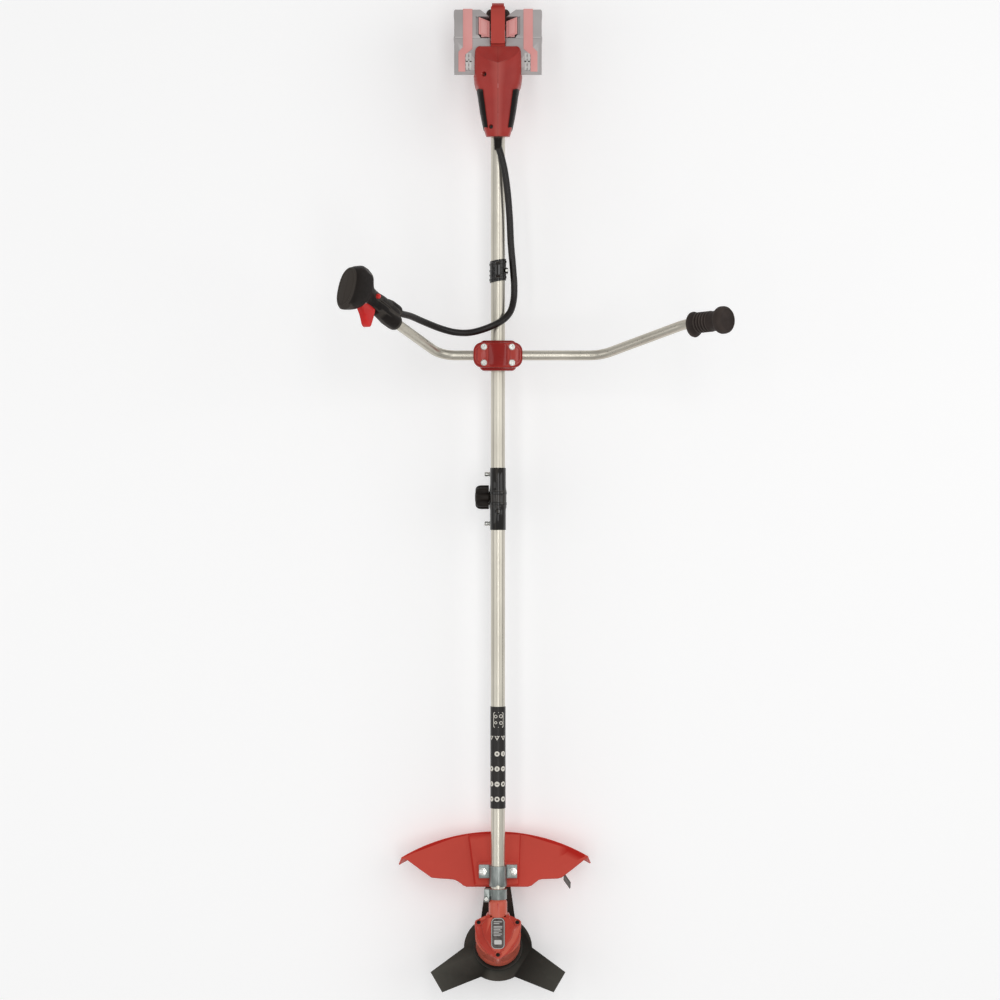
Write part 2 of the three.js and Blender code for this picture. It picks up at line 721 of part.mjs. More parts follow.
function buildCable() {
  const end = new THREE.Vector3(0, 20.6, -4 - gap).applyMatrix4(gripFrame);
  const beforeEnd = end.clone().addScaledVector(leftArm, -9);
  const points = cableRoute.map(([x, y, z]) => new THREE.Vector3(x, y, z + tubeRadius));
  const path = new THREE.CatmullRomCurve3([...points, beforeEnd, end], false, 'centripetal');
  add('control_cable', sweep(path, cableRadius, 8, 30), black);
}

// ---------------------------------------------------------------- split coupling
const couplingFrontY = splitY - couplingLength / 2;
const couplingRearY = splitY + couplingLength / 2;
const knobY = splitY + 3;
const lugBottom = -tubeRadius - 17;
const lugHalf = tubeRadius + 0.4;
const clampHeight = -tubeRadius - 8.5;    // axis of the knob and the screws
const couplingScrewRadius = 2.5;
const couplingScrewYs = [couplingRearY - 11, couplingFrontY + 11];
const lockPinY = splitY - 22;
const lockBossTop = tubeRadius + 7;

function buildCoupling() {
  const inner = tubeRadius + gap;
  const outer = inner + couplingWall;
  const length = couplingLength;
  const profile = [
    [inner, 0], [outer - 0.4, 0], [outer, 2], [outer, 40], [outer + 1, 42], [outer + 1, length - 42],
    [outer, length - 40], [outer, length - 2], [outer - 0.4, length], [inner, length], [inner, 0],
  ];
  const shell = turned(profile, [0, couplingFrontY, 0], [0, couplingRearY, 0]);
  const lug = span([-lugHalf, couplingFrontY + 3, lugBottom], [lugHalf, couplingRearY - 3, -8]);
  const boss = rod(6, [0, lockPinY, 8], [0, lockPinY, lockBossTop], 20);
  const bore = rod(inner, [0, couplingFrontY - 9, 0], [0, couplingRearY + 9, 0], 32);
  const slit = span([-1.2, couplingFrontY - 1, lugBottom - 1], [1.2, couplingRearY + 1, -inner + 1]);
  const tools = [
    bore, slit,
    rod(knobStudRadius + runClearance, [-30, knobY, clampHeight], [30, knobY, clampHeight], 16),
    rod(2 + runClearance, [0, lockPinY, 0], [0, lockPinY, 40], 12),
    rod(4 + runClearance, [0, lockPinY, lockBossTop - 3], [0, lockPinY, 40], 16),
  ];
  for (const y of couplingScrewYs) {
    tools.push(rod(couplingScrewRadius + gap, [-30, y, clampHeight], [30, y, clampHeight], 12));
  }
  add('coupling_body', cut(unite(shell, lug, boss), ...tools), glossBlack);

  couplingScrewYs.forEach((y, i) => {
    const head = lugHalf + gap;
    const screw = [
      [0, 0], [couplingScrewRadius, 0], [couplingScrewRadius, 2 * head], [4.2, 2 * head],
      [4.2, 2 * head + 9], [2, 2 * head + 11], [0, 2 * head + 11],
    ];
    const name = i === 0 ? 'coupling_screw_upper' : 'coupling_screw_lower';
    add(name, turned(screw, [head, y, clampHeight], [-head, y, clampHeight], 16), steel);
  });
  add('clamp_knob', clampKnob(), black);

  const pin = [
    [0, 0], [2, 0], [2, lockBossTop - tubeRadius - 3], [4, lockBossTop - tubeRadius - 2],
    [4, lockBossTop - tubeRadius + 4], [0, lockBossTop - tubeRadius + 4],
  ];
  add('lock_pin', turned(pin, [0, lockPinY, tubeRadius + gap], [0, lockPinY, 40], 16), steel);
}

// A four-lobed knob with its stud, screwed in from -X.
function clampKnob() {
  const lobes = 4;
  const steps = 32;
  const points = [];
  for (let k = 0; k < steps; k += 1) {
    const angle = (2 * Math.PI * k) / steps;
    const radius = knobRadius - 2.6 * (0.5 - 0.5 * Math.cos(lobes * angle)) ** 2;
    points.push([radius * Math.cos(angle), radius * Math.sin(angle)]);
  }
  const head = slab(outline(points), 0, knobLength, 2.5);
  const collar = rod(9, [0, 0, -2], [0, 0, 3], 24);
  const stud = rod(knobStudRadius, [0, 0, -2 * lugHalf - 3], [0, 0, 2], 16);
  // The knob's own Z points away from the coupling, towards -X.
  const turn = new THREE.Matrix4().makeRotationY(-Math.PI / 2);
  turn.setPosition(-lugHalf - 3.2, knobY, clampHeight);
  return unite(head, collar, stud).applyMatrix4(turn);
}

// ---------------------------------------------------------------- label sleeve
function buildLabelSleeve() {
  const inner = tubeRadius + gap;
  const start = [0, splitY - sleeveDistance, 0];
  const end = [0, splitY - sleeveDistance - sleeveLength, 0];
  add('label_sleeve', sleeve(inner + sleeveWall, inner, start, end), glossBlack);
}

// ---------------------------------------------------------------- guard and its bracket
const guardAngle = THREE.MathUtils.degToRad(guardTilt);
const guardFrame = new THREE.Matrix4().makeRotationX(-guardAngle)
  .setPosition(0, guardFrontY, -tubeRadius - 2.5);
const earTop = -tubeRadius + 3.5;
const earThickness = 3;
const earHalf = 34;
const guardScrewX = 27;
const bracketRear = bracketY + 12;
const guardScrewRadius = 3;
const arcMiddle = -4;           // the rim's arc is centred a little off the shaft

function guardPlate() {
  const arcY = guardDepth - guardRadius;
  const rim = (x) => arcY + Math.sqrt(guardRadius ** 2 - (x - arcMiddle) ** 2);
  const angleAt = (x) => Math.atan2(rim(x) - arcY, x - arcMiddle);
  const [left, right] = [-173.3, 161.6];
  const shape = new THREE.Shape();
  shape.moveTo(-56, 0);
  shape.lineTo(53.2, 0);
  shape.quadraticCurveTo(60, 1, 67, 8.6);
  shape.quadraticCurveTo(73, 15, 80, 15);
  shape.lineTo(106, 15.8);
  shape.lineTo(113.4, 17.8);
  shape.lineTo(152.2, 50.5);
  shape.lineTo(right, rim(right));
  shape.absarc(arcMiddle, arcY, guardRadius, angleAt(right), angleAt(left));
  shape.lineTo(-162, 51.8);
  shape.lineTo(-118.7, 17.8);
  shape.lineTo(-87.4, 15);
  shape.quadraticCurveTo(-74, 14, -67.3, 7.4);
  shape.quadraticCurveTo(-62, 1, -56, 0);
  const options = { depth: guardThickness, bevelEnabled: false, curveSegments: 28 };
  const plate = new THREE.ExtrudeGeometry(shape, options);
  plate.translate(0, 0, -guardThickness);

  const top = [guardRadius - guardThickness, guardRadius];
  const bottom = top.map((radius) => radius + skirtFlare);
  const profile = [[bottom[0], -skirtDepth], [bottom[1], -skirtDepth], [top[1], 0], [top[0], 0]];
  profile.push(profile[0]);
  const skirt = turned(profile, [arcMiddle, arcY, 0], [arcMiddle, arcY, 1], 110);
  const reach = (x) => [arcMiddle + (x - arcMiddle) * 1.2, arcY + (rim(x) - arcY) * 1.2];
  const farPoint = [arcMiddle, arcY + 1.5 * guardRadius];
  const wedge = outline([[arcMiddle, arcY], reach(right), farPoint, reach(left)]);
  const skirtPart = common(skirt, slab(wedge, -skirtDepth - 5, 5));

  const panel = outline([[-42, 0], [37, 0], [41, rim(41) - 3], [-54, rim(-54) - 3]]);
  const raised = slab(panel, -guardThickness / 2, panelRise, 1.4);
  return unite(plate, skirtPart, raised).applyMatrix4(guardFrame);
}

function guardScrewHoles() {
  return [-guardScrewX, guardScrewX].map((x) => rod(
    guardScrewRadius + gap, [x, bracketY, -40], [x, bracketY, 20], 12));
}

function buildGuard() {
  const bracketBase = earTop - earThickness - gap;
  const boss = span([-36, bracketY - 13, -tubeRadius - 24], [36, bracketRear + 1, bracketBase]);
  const plate = guardPlate();
  const wide = 400;
  const tools = [
    span([-earHalf - 2, guardFrontY - 5, bracketBase], [earHalf + 2, bracketRear + 2, 60]),
    rod(tubeRadius + 2 * gap, [0, guardFrontY - 60, 0], [0, guardFrontY + 200, 0], 32),
    box([2 * wide, 2 * wide, 200], [0, guardFrontY, -axisHeight - 100]),
  ];
  tools.push(...guardScrewHoles());
  // The boss ends where the guard's plate begins.
  const above = box([2 * wide, 2 * wide, 100], [0, 0, 50 - guardThickness / 2]).applyMatrix4(guardFrame);
  const whole = cut(unite(plate, common(boss, above)), ...tools);
  add('guard', whole, guardRed);
  add('line_cutter', lineCutter(), steel);
}

// A small knife under the guard's right front edge, for trimming a line.
function lineCutter() {
  const knife = box([2, 26, 30], [0, 0, 0]);
  knife.rotateZ(THREE.MathUtils.degToRad(32));
  knife.translate(124, 16, -guardThickness - gap - 15);
  return knife.applyMatrix4(guardFrame);
}

function buildBracket() {
  const inner = tubeRadius + gap;
  const outer = inner + 2.6;
  const low = earTop - earThickness;
  const shape = new THREE.Shape();
  shape.moveTo(-earHalf, low);
  shape.lineTo(-inner, low);
  shape.lineTo(-inner, 0);
  shape.absarc(0, 0, inner, Math.PI, 0, true);
  shape.lineTo(inner, low);
  shape.lineTo(earHalf, low);
  shape.lineTo(earHalf, earTop);
  shape.lineTo(outer, earTop);
  shape.lineTo(outer, 0);
  shape.absarc(0, 0, outer, 0, Math.PI, false);
  shape.lineTo(-outer, earTop);
  shape.lineTo(-earHalf, earTop);
  const frontY = guardFrontY + 3;
  const options = { depth: bracketRear - frontY, bevelEnabled: false, curveSegments: 16 };
  const strip = new THREE.ExtrudeGeometry(shape, options);
  strip.rotateX(Math.PI / 2).translate(0, bracketRear, 0);
  const tools = guardScrewHoles();
  for (const side of [-1, 1]) {
    const x = [side * (outer + 0.5), side * (earHalf + 5)].sort((a, b) => a - b);
    tools.push(span([x[0], frontY - 1, -40], [x[1], bracketY - 12, 40]));
  }
  add('guard_bracket', cut(strip, ...tools), zinc);

  const reach = 17;
  const screw = [
    [0, 0], [guardScrewRadius, 0], [guardScrewRadius, reach], [5.2, reach], [5.2, reach + 3],
    [3.4, reach + 4.6], [0, reach + 4.6],
  ];
  for (const [side, name] of [[-1, 'left'], [1, 'right']]) {
    const x = side * guardScrewX;
    const start = [x, bracketY, earTop + gap - reach];
    add(`guard_screw_${name}`, turned(screw, start, [x, bracketY, 20], 12), steel);
  }
}

// ---------------------------------------------------------------- motor head
// The head's own frame: its origin is the blade's centre and Z runs up the motor's axis.
const headFrame = new THREE.Matrix4().makeRotationX(-tilt).setPosition(...bladeCentre);
const collarRadius = tubeRadius + gap + 1;
const bandInner = collarRadius + gap;
const bandOuter = bandInner + 1.5;
const statorOuter = motorRadius - motorWall - 0.5;
const statorInner = 20;
const spindleRadius = 8;
const threadRadius = 5;
const lobeRadius = 6.8;
const coverScrewRadius = 2;
const coverScrewPlaces = [0, 1, 2].map((k) => {
  const angle = THREE.MathUtils.degToRad(30 + 120 * k);
  return [coverScrewCircle * Math.cos(angle), coverScrewCircle * Math.sin(angle)];
});

function inHead(geometry) {
  return geometry.applyMatrix4(headFrame);
}

function motorHousing() {
  const can = inHead(turned([
    [0, 0], [motorRadius - 6, 0], [motorRadius, 5], [motorRadius, motorTop - motorBottom],
    [0, motorTop - motorBottom],
  ], [0, 0, motorBottom], [0, 0, motorTop], 32));
  const bosses = coverScrewPlaces.map(([x, y]) => inHead(
    rod(lobeRadius, [x, y, motorTop - 26], [x, y, motorTop], 16)));
  const neck = turned([
    [0, 0], [neckRadius + 3, 0], [neckRadius, 30], [neckRadius, neckLength - 2],
    [neckRadius - 1, neckLength], [0, neckLength],
  ], [0, pivotY, 0], [0, neckStartY, 0], 32);
  const collar = rod(collarRadius, [0, neckStartY - 5, 0], [0, neckStartY + neckBandLength, 0], 32);
  const aboveTop = inHead(box([200, 200, 100], [0, 0, motorTop + 50]));
  const nearAxis = rod(60, [0, pivotY - 60, 0], [0, pivotY + 18, 0], 16);
  const cavity = inHead(rod(motorRadius - motorWall, [0, 0, motorBottom + 8], [0, 0, motorTop + 5], 32));
  const tubeHole = rod(tubeRadius + gap, [0, lowerTubeEndY - gap, 0], [0, neckStartY + 60, 0], 32);
  const wireHole = rod(6, [0, pivotY + 10, 0], [0, neckStartY, 0], 12);
  const bearing = inHead(rod(spindleRadius + gap, [0, 0, 0], [0, 0, motorTop], 24));
  const collarSlit = span([-1.2, neckStartY + 1, tubeRadius - 3], [1.2, neckStartY + 60, 40]);
  const solid = unite(can, ...bosses, cut(neck, common(aboveTop, nearAxis)), collar);
  const holes = coverScrewPlaces.map(([x, y]) => inHead(
    rod(coverScrewRadius + gap, [x, y, motorTop - 14], [x, y, motorTop + 1], 12)));
  return cut(solid, cavity, tubeHole, wireHole, bearing, collarSlit, ...holes);
}

function motorCover() {
  const low = motorTop + gap;
  const high = motorTop + coverThickness;
  const shape = new THREE.Shape();
  const inset = coverScrewCircle + lobeRadius;
  // Three round lobes joined by full, outward-curved sides.
  for (let k = 0; k < 3; k += 1) {
    const angle = THREE.MathUtils.degToRad(30 + 120 * k);
    const [x, y] = coverScrewPlaces[k];
    const spread = THREE.MathUtils.degToRad(50);
    const startX = x + lobeRadius * Math.cos(angle - spread);
    const startY = y + lobeRadius * Math.sin(angle - spread);
    if (k === 0) {
      shape.moveTo(startX, startY);
    }
    shape.absarc(x, y, lobeRadius, angle - spread, angle + spread, false);
    const next = coverScrewPlaces[(k + 1) % 3];
    const nextAngle = THREE.MathUtils.degToRad(30 + 120 * (k + 1));
    const endX = next[0] + lobeRadius * Math.cos(nextAngle - spread);
    const endY = next[1] + lobeRadius * Math.sin(nextAngle - spread);
    const middle = THREE.MathUtils.degToRad(90 + 120 * k);
    const bulge = 0.84 * inset;
    shape.quadraticCurveTo(bulge * Math.cos(middle), bulge * Math.sin(middle), endX, endY);
  }
  const plate = inHead(slab(shape, low, high, 2));
  const neckRoom = rod(neckRadius + 2.4, [0, pivotY + 10, 0], [0, neckStartY + 20, 0], 32);
  const holes = coverScrewPlaces.flatMap(([x, y]) => [
    inHead(rod(coverScrewRadius + gap, [x, y, low - 5], [x, y, high + 5], 12)),
    inHead(rod(4, [x, y, high - 4], [x, y, high + 5], 16)),
  ]);
  return cut(plate, neckRoom, ...holes);
}

function buildMotor() {
  add('motor_housing', motorHousing(), motorRed);
  add('motor_cover', motorCover(), motorRed);
  const reach = 16.3;
  const screw = [
    [0, 0], [coverScrewRadius, 0], [coverScrewRadius, reach], [3.4, reach], [3.4, reach + 2.1],
    [0, reach + 2.9],
  ];
  coverScrewPlaces.forEach(([x, y], i) => {
    const low = motorTop + coverThickness - 4 + gap - reach;
    add(`cover_screw_${i + 1}`, inHead(turned(screw, [x, y, low], [x, y, motorTop + 20], 12)), steel);
  });
  const coil = sleeve(statorOuter, statorInner, [0, 0, motorBottom + 14], [0, 0, motorBottom + 40]);
  add('stator', inHead(coil), copper);
}

function buildCutter() {
  const flangeBottom = bladeThickness / 2 + gap;
  const shieldRadius = motorRadius + 4;
  const rotorBottom = motorBottom + 15;
  const rotorTop = motorBottom + 39;
  const spindle = [
    [0, -16], [threadRadius, -16], [threadRadius, -flangeBottom],
    [arborRadius - gap, -flangeBottom + 0.6], [arborRadius - gap, flangeBottom], [30, flangeBottom],
    [30, 7], [shieldRadius, 6.4], [shieldRadius, 8.4],
    [spindleRadius, 9.6], [spindleRadius, rotorBottom], [statorInner - 1, rotorBottom],
    [statorInner - 1, rotorTop], [spindleRadius, rotorTop], [spindleRadius, rotorTop + 8],
    [0, rotorTop + 8],
  ];
  add('spindle', inHead(turned(spindle, [0, 0, 0], [0, 0, 1], 28)), black);
  add('blade', inHead(blade()), bladeSteel);

  const capTopZ = -bladeThickness / 2 - gap;
  const cap = [
    [threadRadius + gap, -9], [20, -9], [29, -4], [30, capTopZ], [threadRadius + gap, capTopZ],
    [threadRadius + gap, -9],
  ];
  add('cap_flange', inHead(turned(cap, [0, 0, 0], [0, 0, 1], 32)), bladeSteel);

  const hex = slab(circle(9.5, 6), -17.5, -9 - gap);
  const nut = cut(hex, rod(threadRadius + gap, [0, 0, -30], [0, 0, 5], 16));
  add('blade_nut', inHead(nut), steel);
}

function blade() {
  const shape = new THREE.Shape();
  const rootAngle = Math.asin(toothRoot / bladeDiscRadius);
  const tipReach = Math.sqrt(bladeRadius ** 2 - toothTip ** 2);
  for (let k = 0; k < 3; k += 1) {
    const angle = THREE.MathUtils.degToRad(90 + 120 * k);
    const corner = (side) => [
      tipReach * Math.cos(angle) - side * toothTip * Math.sin(angle),
      tipReach * Math.sin(angle) + side * toothTip * Math.cos(angle),
    ];
    const start = angle - rootAngle;
    if (k === 0) {
      shape.moveTo(bladeDiscRadius * Math.cos(start), bladeDiscRadius * Math.sin(start));
    }
    shape.lineTo(...corner(-1));
    shape.lineTo(...corner(1));
    const end = angle + rootAngle;
    const next = angle + THREE.MathUtils.degToRad(120) - rootAngle;
    shape.lineTo(bladeDiscRadius * Math.cos(end), bladeDiscRadius * Math.sin(end));
    shape.absarc(0, 0, bladeDiscRadius, end, next, false);
  }
  const options = { depth: bladeThickness, bevelEnabled: false, curveSegments: 12 };
  const body = new THREE.ExtrudeGeometry(shape, options);
  body.translate(0, 0, -bladeThickness / 2);
  return cut(body, rod(arborRadius, [0, 0, -10], [0, 0, 10], 32));
}

// A steel band that closes the neck's split collar on the tube.
function buildNeckClamp() {
  const low = bandY - neckBandLength / 2 + 1;
  const high = bandY + neckBandLength / 2 - 1;
  const band = sleeve(bandOuter, bandInner, [0, low, 0], [0, high, 0]);
  const ear = span([-bandOuter - 9, low - 6, -6], [-bandInner - 0.4, high, 6]);
  const slit = span([-bandOuter - 12, low - 8, -0.8], [-bandInner + 2, high + 3, 0.8]);
  const neckRoom = rod(neckRadius + 1, [0, pivotY, 0], [0, neckStartY + 0.5, 0], 32);
  const screwX = -bandOuter - 5;
  const screwY = low + 1;
  const hole = rod(2 + gap, [screwX, screwY, -5], [screwX, screwY, 20], 12);
  const bore = rod(bandInner, [0, low - 10, 0], [0, high + 10, 0], 32);
  add('neck_clamp', cut(unite(band, ear), bore, slit, neckRoom, hole), zinc);
  const screw = [[0, 0], [2, 0], [2, 10.9], [3.6, 10.9], [3.6, 14], [0, 14.6]];
  add('neck_clamp_screw', turned(screw, [screwX, screwY, -4.6], [screwX, screwY, 20], 12), steel);
}

buildTubes();
buildWiring();
buildHousing();
buildElectronics();
buildStand();
buildBatteries();
buildHarnessClamp();
buildBarClamp();
buildHandlebar();
buildPlainGrip();
buildControlGrip();
buildCable();
buildCoupling();
buildLabelSleeve();
buildGuard();
buildBracket();
buildMotor();
buildCutter();
buildNeckClamp();

const part = new THREE.Group();
part.add(tool);
export default part;
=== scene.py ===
import math

import bmesh
import bpy
from mathutils import Matrix, Vector


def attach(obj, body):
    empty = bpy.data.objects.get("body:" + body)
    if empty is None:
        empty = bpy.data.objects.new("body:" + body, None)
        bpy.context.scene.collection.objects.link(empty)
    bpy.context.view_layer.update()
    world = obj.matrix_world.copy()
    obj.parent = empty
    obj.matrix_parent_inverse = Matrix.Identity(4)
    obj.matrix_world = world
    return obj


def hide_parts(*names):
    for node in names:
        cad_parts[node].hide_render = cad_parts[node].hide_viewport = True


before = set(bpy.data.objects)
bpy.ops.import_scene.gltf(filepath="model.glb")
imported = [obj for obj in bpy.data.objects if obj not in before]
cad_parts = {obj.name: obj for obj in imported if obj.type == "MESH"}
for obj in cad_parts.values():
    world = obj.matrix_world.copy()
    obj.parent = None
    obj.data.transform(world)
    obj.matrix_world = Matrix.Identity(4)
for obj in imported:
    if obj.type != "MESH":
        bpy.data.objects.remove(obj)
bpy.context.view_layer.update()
print("frame loaded")

mm = 0.001
axisHeight = 117        # the shaft's axis above the floor; heights below are measured from it
tubeRadius = 12.5
tubeBore = 11
clearance = 0.3         # between a tube or bar and what clamps it


def at(x, y, z):
    return Vector((x, y, z + axisHeight)) * mm


def shift(x, y, z):
    return Matrix.Translation(Vector((x, y, z)) * mm)


def tilt(degrees, axis="X"):
    return Matrix.Rotation(math.radians(degrees), 4, axis)


# ---- camera, floor and lights

shot = {"x": 3.6, "y": -874, "distance": 4000, "width": 1770}
studio = {
    "floorSize": 30, "floorShade": 0.96, "floorGlow": 0.14, "floorRoughness": 0.9,
    "floorGleam": 0.1, "sky": 0.5,
    # two long strips beside the camera, and a large soft light from each side:
    # name, place, lean in degrees, width, length and power
    "lamps": [
        ("stripRight", (0.62, -0.9, 4.6), 0, 0.9, 4.5, 36),
        ("stripLeft", (-1.1, -0.9, 4.6), 0, 0.5, 4.5, 16.2),
        ("sideRight", (2.8, -0.4, 2.6), 50, 2.4, 2.4, 21),
        ("sideLeft", (-2.8, -1.2, 2.6), -50, 2.4, 2.4, 14.7),
    ],
}
sensorWidth = 36
white = (1, 1, 1, 1)


def buildStudio():
    bpy.ops.object.select_all(action="DESELECT")
    bpy.ops.object.camera_add(location=at(shot["x"], shot["y"], shot["distance"]),
                              rotation=(0, 0, 0))
    camera = bpy.context.object
    camera.data.sensor_width = sensorWidth
    camera.data.lens = sensorWidth * shot["distance"] / shot["width"]
    bpy.context.scene.camera = camera
    bpy.context.scene.view_settings.view_transform = "Standard"

    bpy.ops.mesh.primitive_plane_add(size=studio["floorSize"], location=(0, shot["y"] * mm, 0))
    floor = bpy.context.object
    floor.name = "floor"
    paper = bpy.data.materials.new("paleFloor")
    paper.use_nodes = True
    shader = paper.node_tree.nodes["Principled BSDF"]
    shader.inputs["Base Color"].default_value = (*[studio["floorShade"]] * 3, 1)
    shader.inputs["Emission Color"].default_value = white
    shader.inputs["Emission Strength"].default_value = studio["floorGlow"]
    shader.inputs["Roughness"].default_value = studio["floorRoughness"]
    shader.inputs["Specular IOR Level"].default_value = studio["floorGleam"]
    floor.data.materials.append(paper)

    for name, place, lean, wide, long, power in studio["lamps"]:
        bpy.ops.object.light_add(type="AREA", location=place, rotation=(0, math.radians(lean), 0))
        lamp = bpy.context.object
        lamp.name = name
        lamp.data.shape = "RECTANGLE"
        lamp.data.size = wide
        lamp.data.size_y = long
        lamp.data.energy = power
    world = bpy.data.worlds.new("softRoom")
    bpy.context.scene.world = world
    world.use_nodes = True
    background = world.node_tree.nodes["Background"]
    background.inputs["Color"].default_value = white
    background.inputs["Strength"].default_value = studio["sky"]


# ---- finishes

def tint(red, green, blue):
    linear = []
    for value in (red, green, blue):
        share = value / 255
        linear.append(share / 12.92 if share <= 0.04045 else ((share + 0.055) / 1.055) ** 2.4)
    return (*linear, 1)


# color and shade: the two tones of the blotches; tone: how fine the blotches are; rough: the least
# and most roughness; grain: size and depth of the skin's texture; wear: the tone of rubbed edges;
# scuff: how much of it shows on the faces; gleam: how strongly the bare surface mirrors the room
finishes = {
    "satinAluminium": dict(color=(212, 207, 194), shade=(194, 189, 176), metal=0.9,
                          rough=(0.26, 0.36), tone=6, grain=(900, 0.05), stretch=(1, 0.015, 1),
                          gleam=0.5),
    "bentAluminium": dict(color=(208, 203, 190), shade=(190, 185, 172), metal=0.9,
                         rough=(0.26, 0.36), tone=14, grain=(1400, 0.05), gleam=0.5),
    "mouldedRed": dict(color=(172, 54, 47), shade=(156, 45, 39), rough=(0.34, 0.46), tone=18,
                       grain=(1500, 0.12), wear=(215, 130, 120), gleam=0.3),
    "standRed": dict(color=(174, 40, 33), shade=(152, 31, 25), rough=(0.4, 0.55), tone=16,
                    grain=(1500, 0.12), wear=(200, 100, 90), gleam=0.08),
    "guardRed": dict(color=(190, 43, 35), shade=(176, 35, 28), rough=(0.4, 0.54), tone=9,
                    grain=(1100, 0.16), wear=(220, 105, 90), scuff=0.06, gleam=0.08),
    "motorRed": dict(color=(194, 62, 44), shade=(172, 47, 31), rough=(0.26, 0.4), tone=20,
                     grain=(900, 0.12), coat=0.3, wear=(225, 120, 95), gleam=0.3),
    "enamelRed": dict(color=(152, 27, 20), shade=(134, 18, 13), rough=(0.2, 0.32), tone=22,
                     grain=(340, 0.12), coat=0.35, wear=(205, 90, 80), gleam=0.08),
    "buttonRed": dict(color=(216, 40, 38), shade=(194, 30, 29), rough=(0.34, 0.46), tone=40,
                      grain=(1600, 0.1), coat=0.1, wear=(235, 110, 100)),
    "enamelBlack": dict(color=(17, 13, 10), shade=(11, 8, 6), rough=(0.12, 0.2), tone=26,
                       grain=(900, 0.02), coat=0.9, wear=(64, 58, 52), gleam=0.05),
    "mouldedBlack": dict(color=(30, 25, 22), shade=(22, 18, 16), rough=(0.4, 0.56), tone=20,
                        grain=(1300, 0.2), wear=(86, 80, 74), gleam=0.12),
    "ribbedRubber": dict(color=(62, 53, 49), shade=(46, 39, 36), rough=(0.6, 0.8), tone=30,
                         grain=(800, 0.3), wear=(112, 102, 94)),
    "cableBlack": dict(color=(28, 22, 20), shade=(20, 16, 14), rough=(0.24, 0.34), tone=35,
                      grain=(700, 0.08), gleam=0.35),
    "screwSteel": dict(color=(212, 212, 208), shade=(184, 184, 178), metal=1, rough=(0.16, 0.28),
                       tone=60, grain=(1800, 0.04), gleam=0.5),
    "zincPlate": dict(color=(168, 173, 170), shade=(118, 124, 121), metal=0.92, rough=(0.26, 0.44),
                      tone=42, grain=(600, 0.12), spangle=90, gleam=0.5),
    "bladeSteel": dict(color=(36, 35, 31), shade=(27, 26, 23), metal=0.2, rough=(0.46, 0.66),
                      tone=12, grain=(700, 0.2), wear=(110, 108, 100), scuff=0.06, gleam=0.12),
    "batteryGrey": dict(color=(181, 176, 175), shade=(166, 161, 160), rough=(0.5, 0.62), tone=20,
                        grain=(1300, 0.25), wear=(214, 210, 208)),
    "batteryPink": dict(color=(228, 158, 154), shade=(218, 146, 142), rough=(0.45, 0.58), tone=22,
                        grain=(1300, 0.2), wear=(242, 196, 192)),
    "contactGrey": dict(color=(215, 213, 210), shade=(192, 190, 187), rough=(0.4, 0.5), tone=40,
                        grain=(1300, 0.15)),
    "sleeveBlack": dict(color=(30, 25, 22), shade=(22, 18, 16), rough=(0.3, 0.4), tone=25,
                        grain=(1500, 0.08), gleam=0.4),
    "printWhite": dict(color=(236, 232, 222), shade=(216, 211, 200), rough=(0.45, 0.55), tone=400,
                       grain=(2500, 0.1)),
    "plateGrey": dict(color=(112, 106, 102), shade=(74, 69, 66), metal=0.3, rough=(0.35, 0.5),
                      tone=140, grain=(900, 0.15)),
    "boardGreen": dict(color=(34, 92, 56), shade=(24, 70, 42), rough=(0.4, 0.55), tone=60,
                       grain=(500, 0.3)),
    "copperWire": dict(color=(184, 108, 62), shade=(150, 82, 44), metal=0.9, rough=(0.3, 0.45),
                       tone=60, grain=(500, 0.5), stretch=(1, 1, 6), gleam=0.5),
    "darkSteel": dict(color=(58, 55, 51), shade=(38, 35, 33), metal=0.7, rough=(0.36, 0.5), tone=30,
                      grain=(900, 0.12), wear=(120, 116, 110)),
}


def addNoise(tree, vector, scale, detail=3):
    noise = tree.nodes.new("ShaderNodeTexNoise")
    noise.inputs["Scale"].default_value = scale
    noise.inputs["Detail"].default_value = detail
    tree.links.new(vector, noise.inputs["Vector"])
    return noise.outputs["Fac"]


def addRange(tree, value, low, high, toLow, toHigh):
    step = tree.nodes.new("ShaderNodeMapRange")
    for socket, number in zip(("From Min", "From Max", "To Min", "To Max"),
                              (low, high, toLow, toHigh)):
        step.inputs[socket].default_value = number
    tree.links.new(value, step.inputs["Value"])
    return step.outputs["Result"]


def addMix(tree, factor, first, second):
    mix = tree.nodes.new("ShaderNodeMix")
    mix.data_type = "RGBA"
    tree.links.new(factor, mix.inputs["Factor"])
    for socket, colour in ((mix.inputs[6], first), (mix.inputs[7], second)):
        if isinstance(colour, tuple):
            socket.default_value = colour
        else:
            tree.links.new(colour, socket)
    return mix.outputs[2]


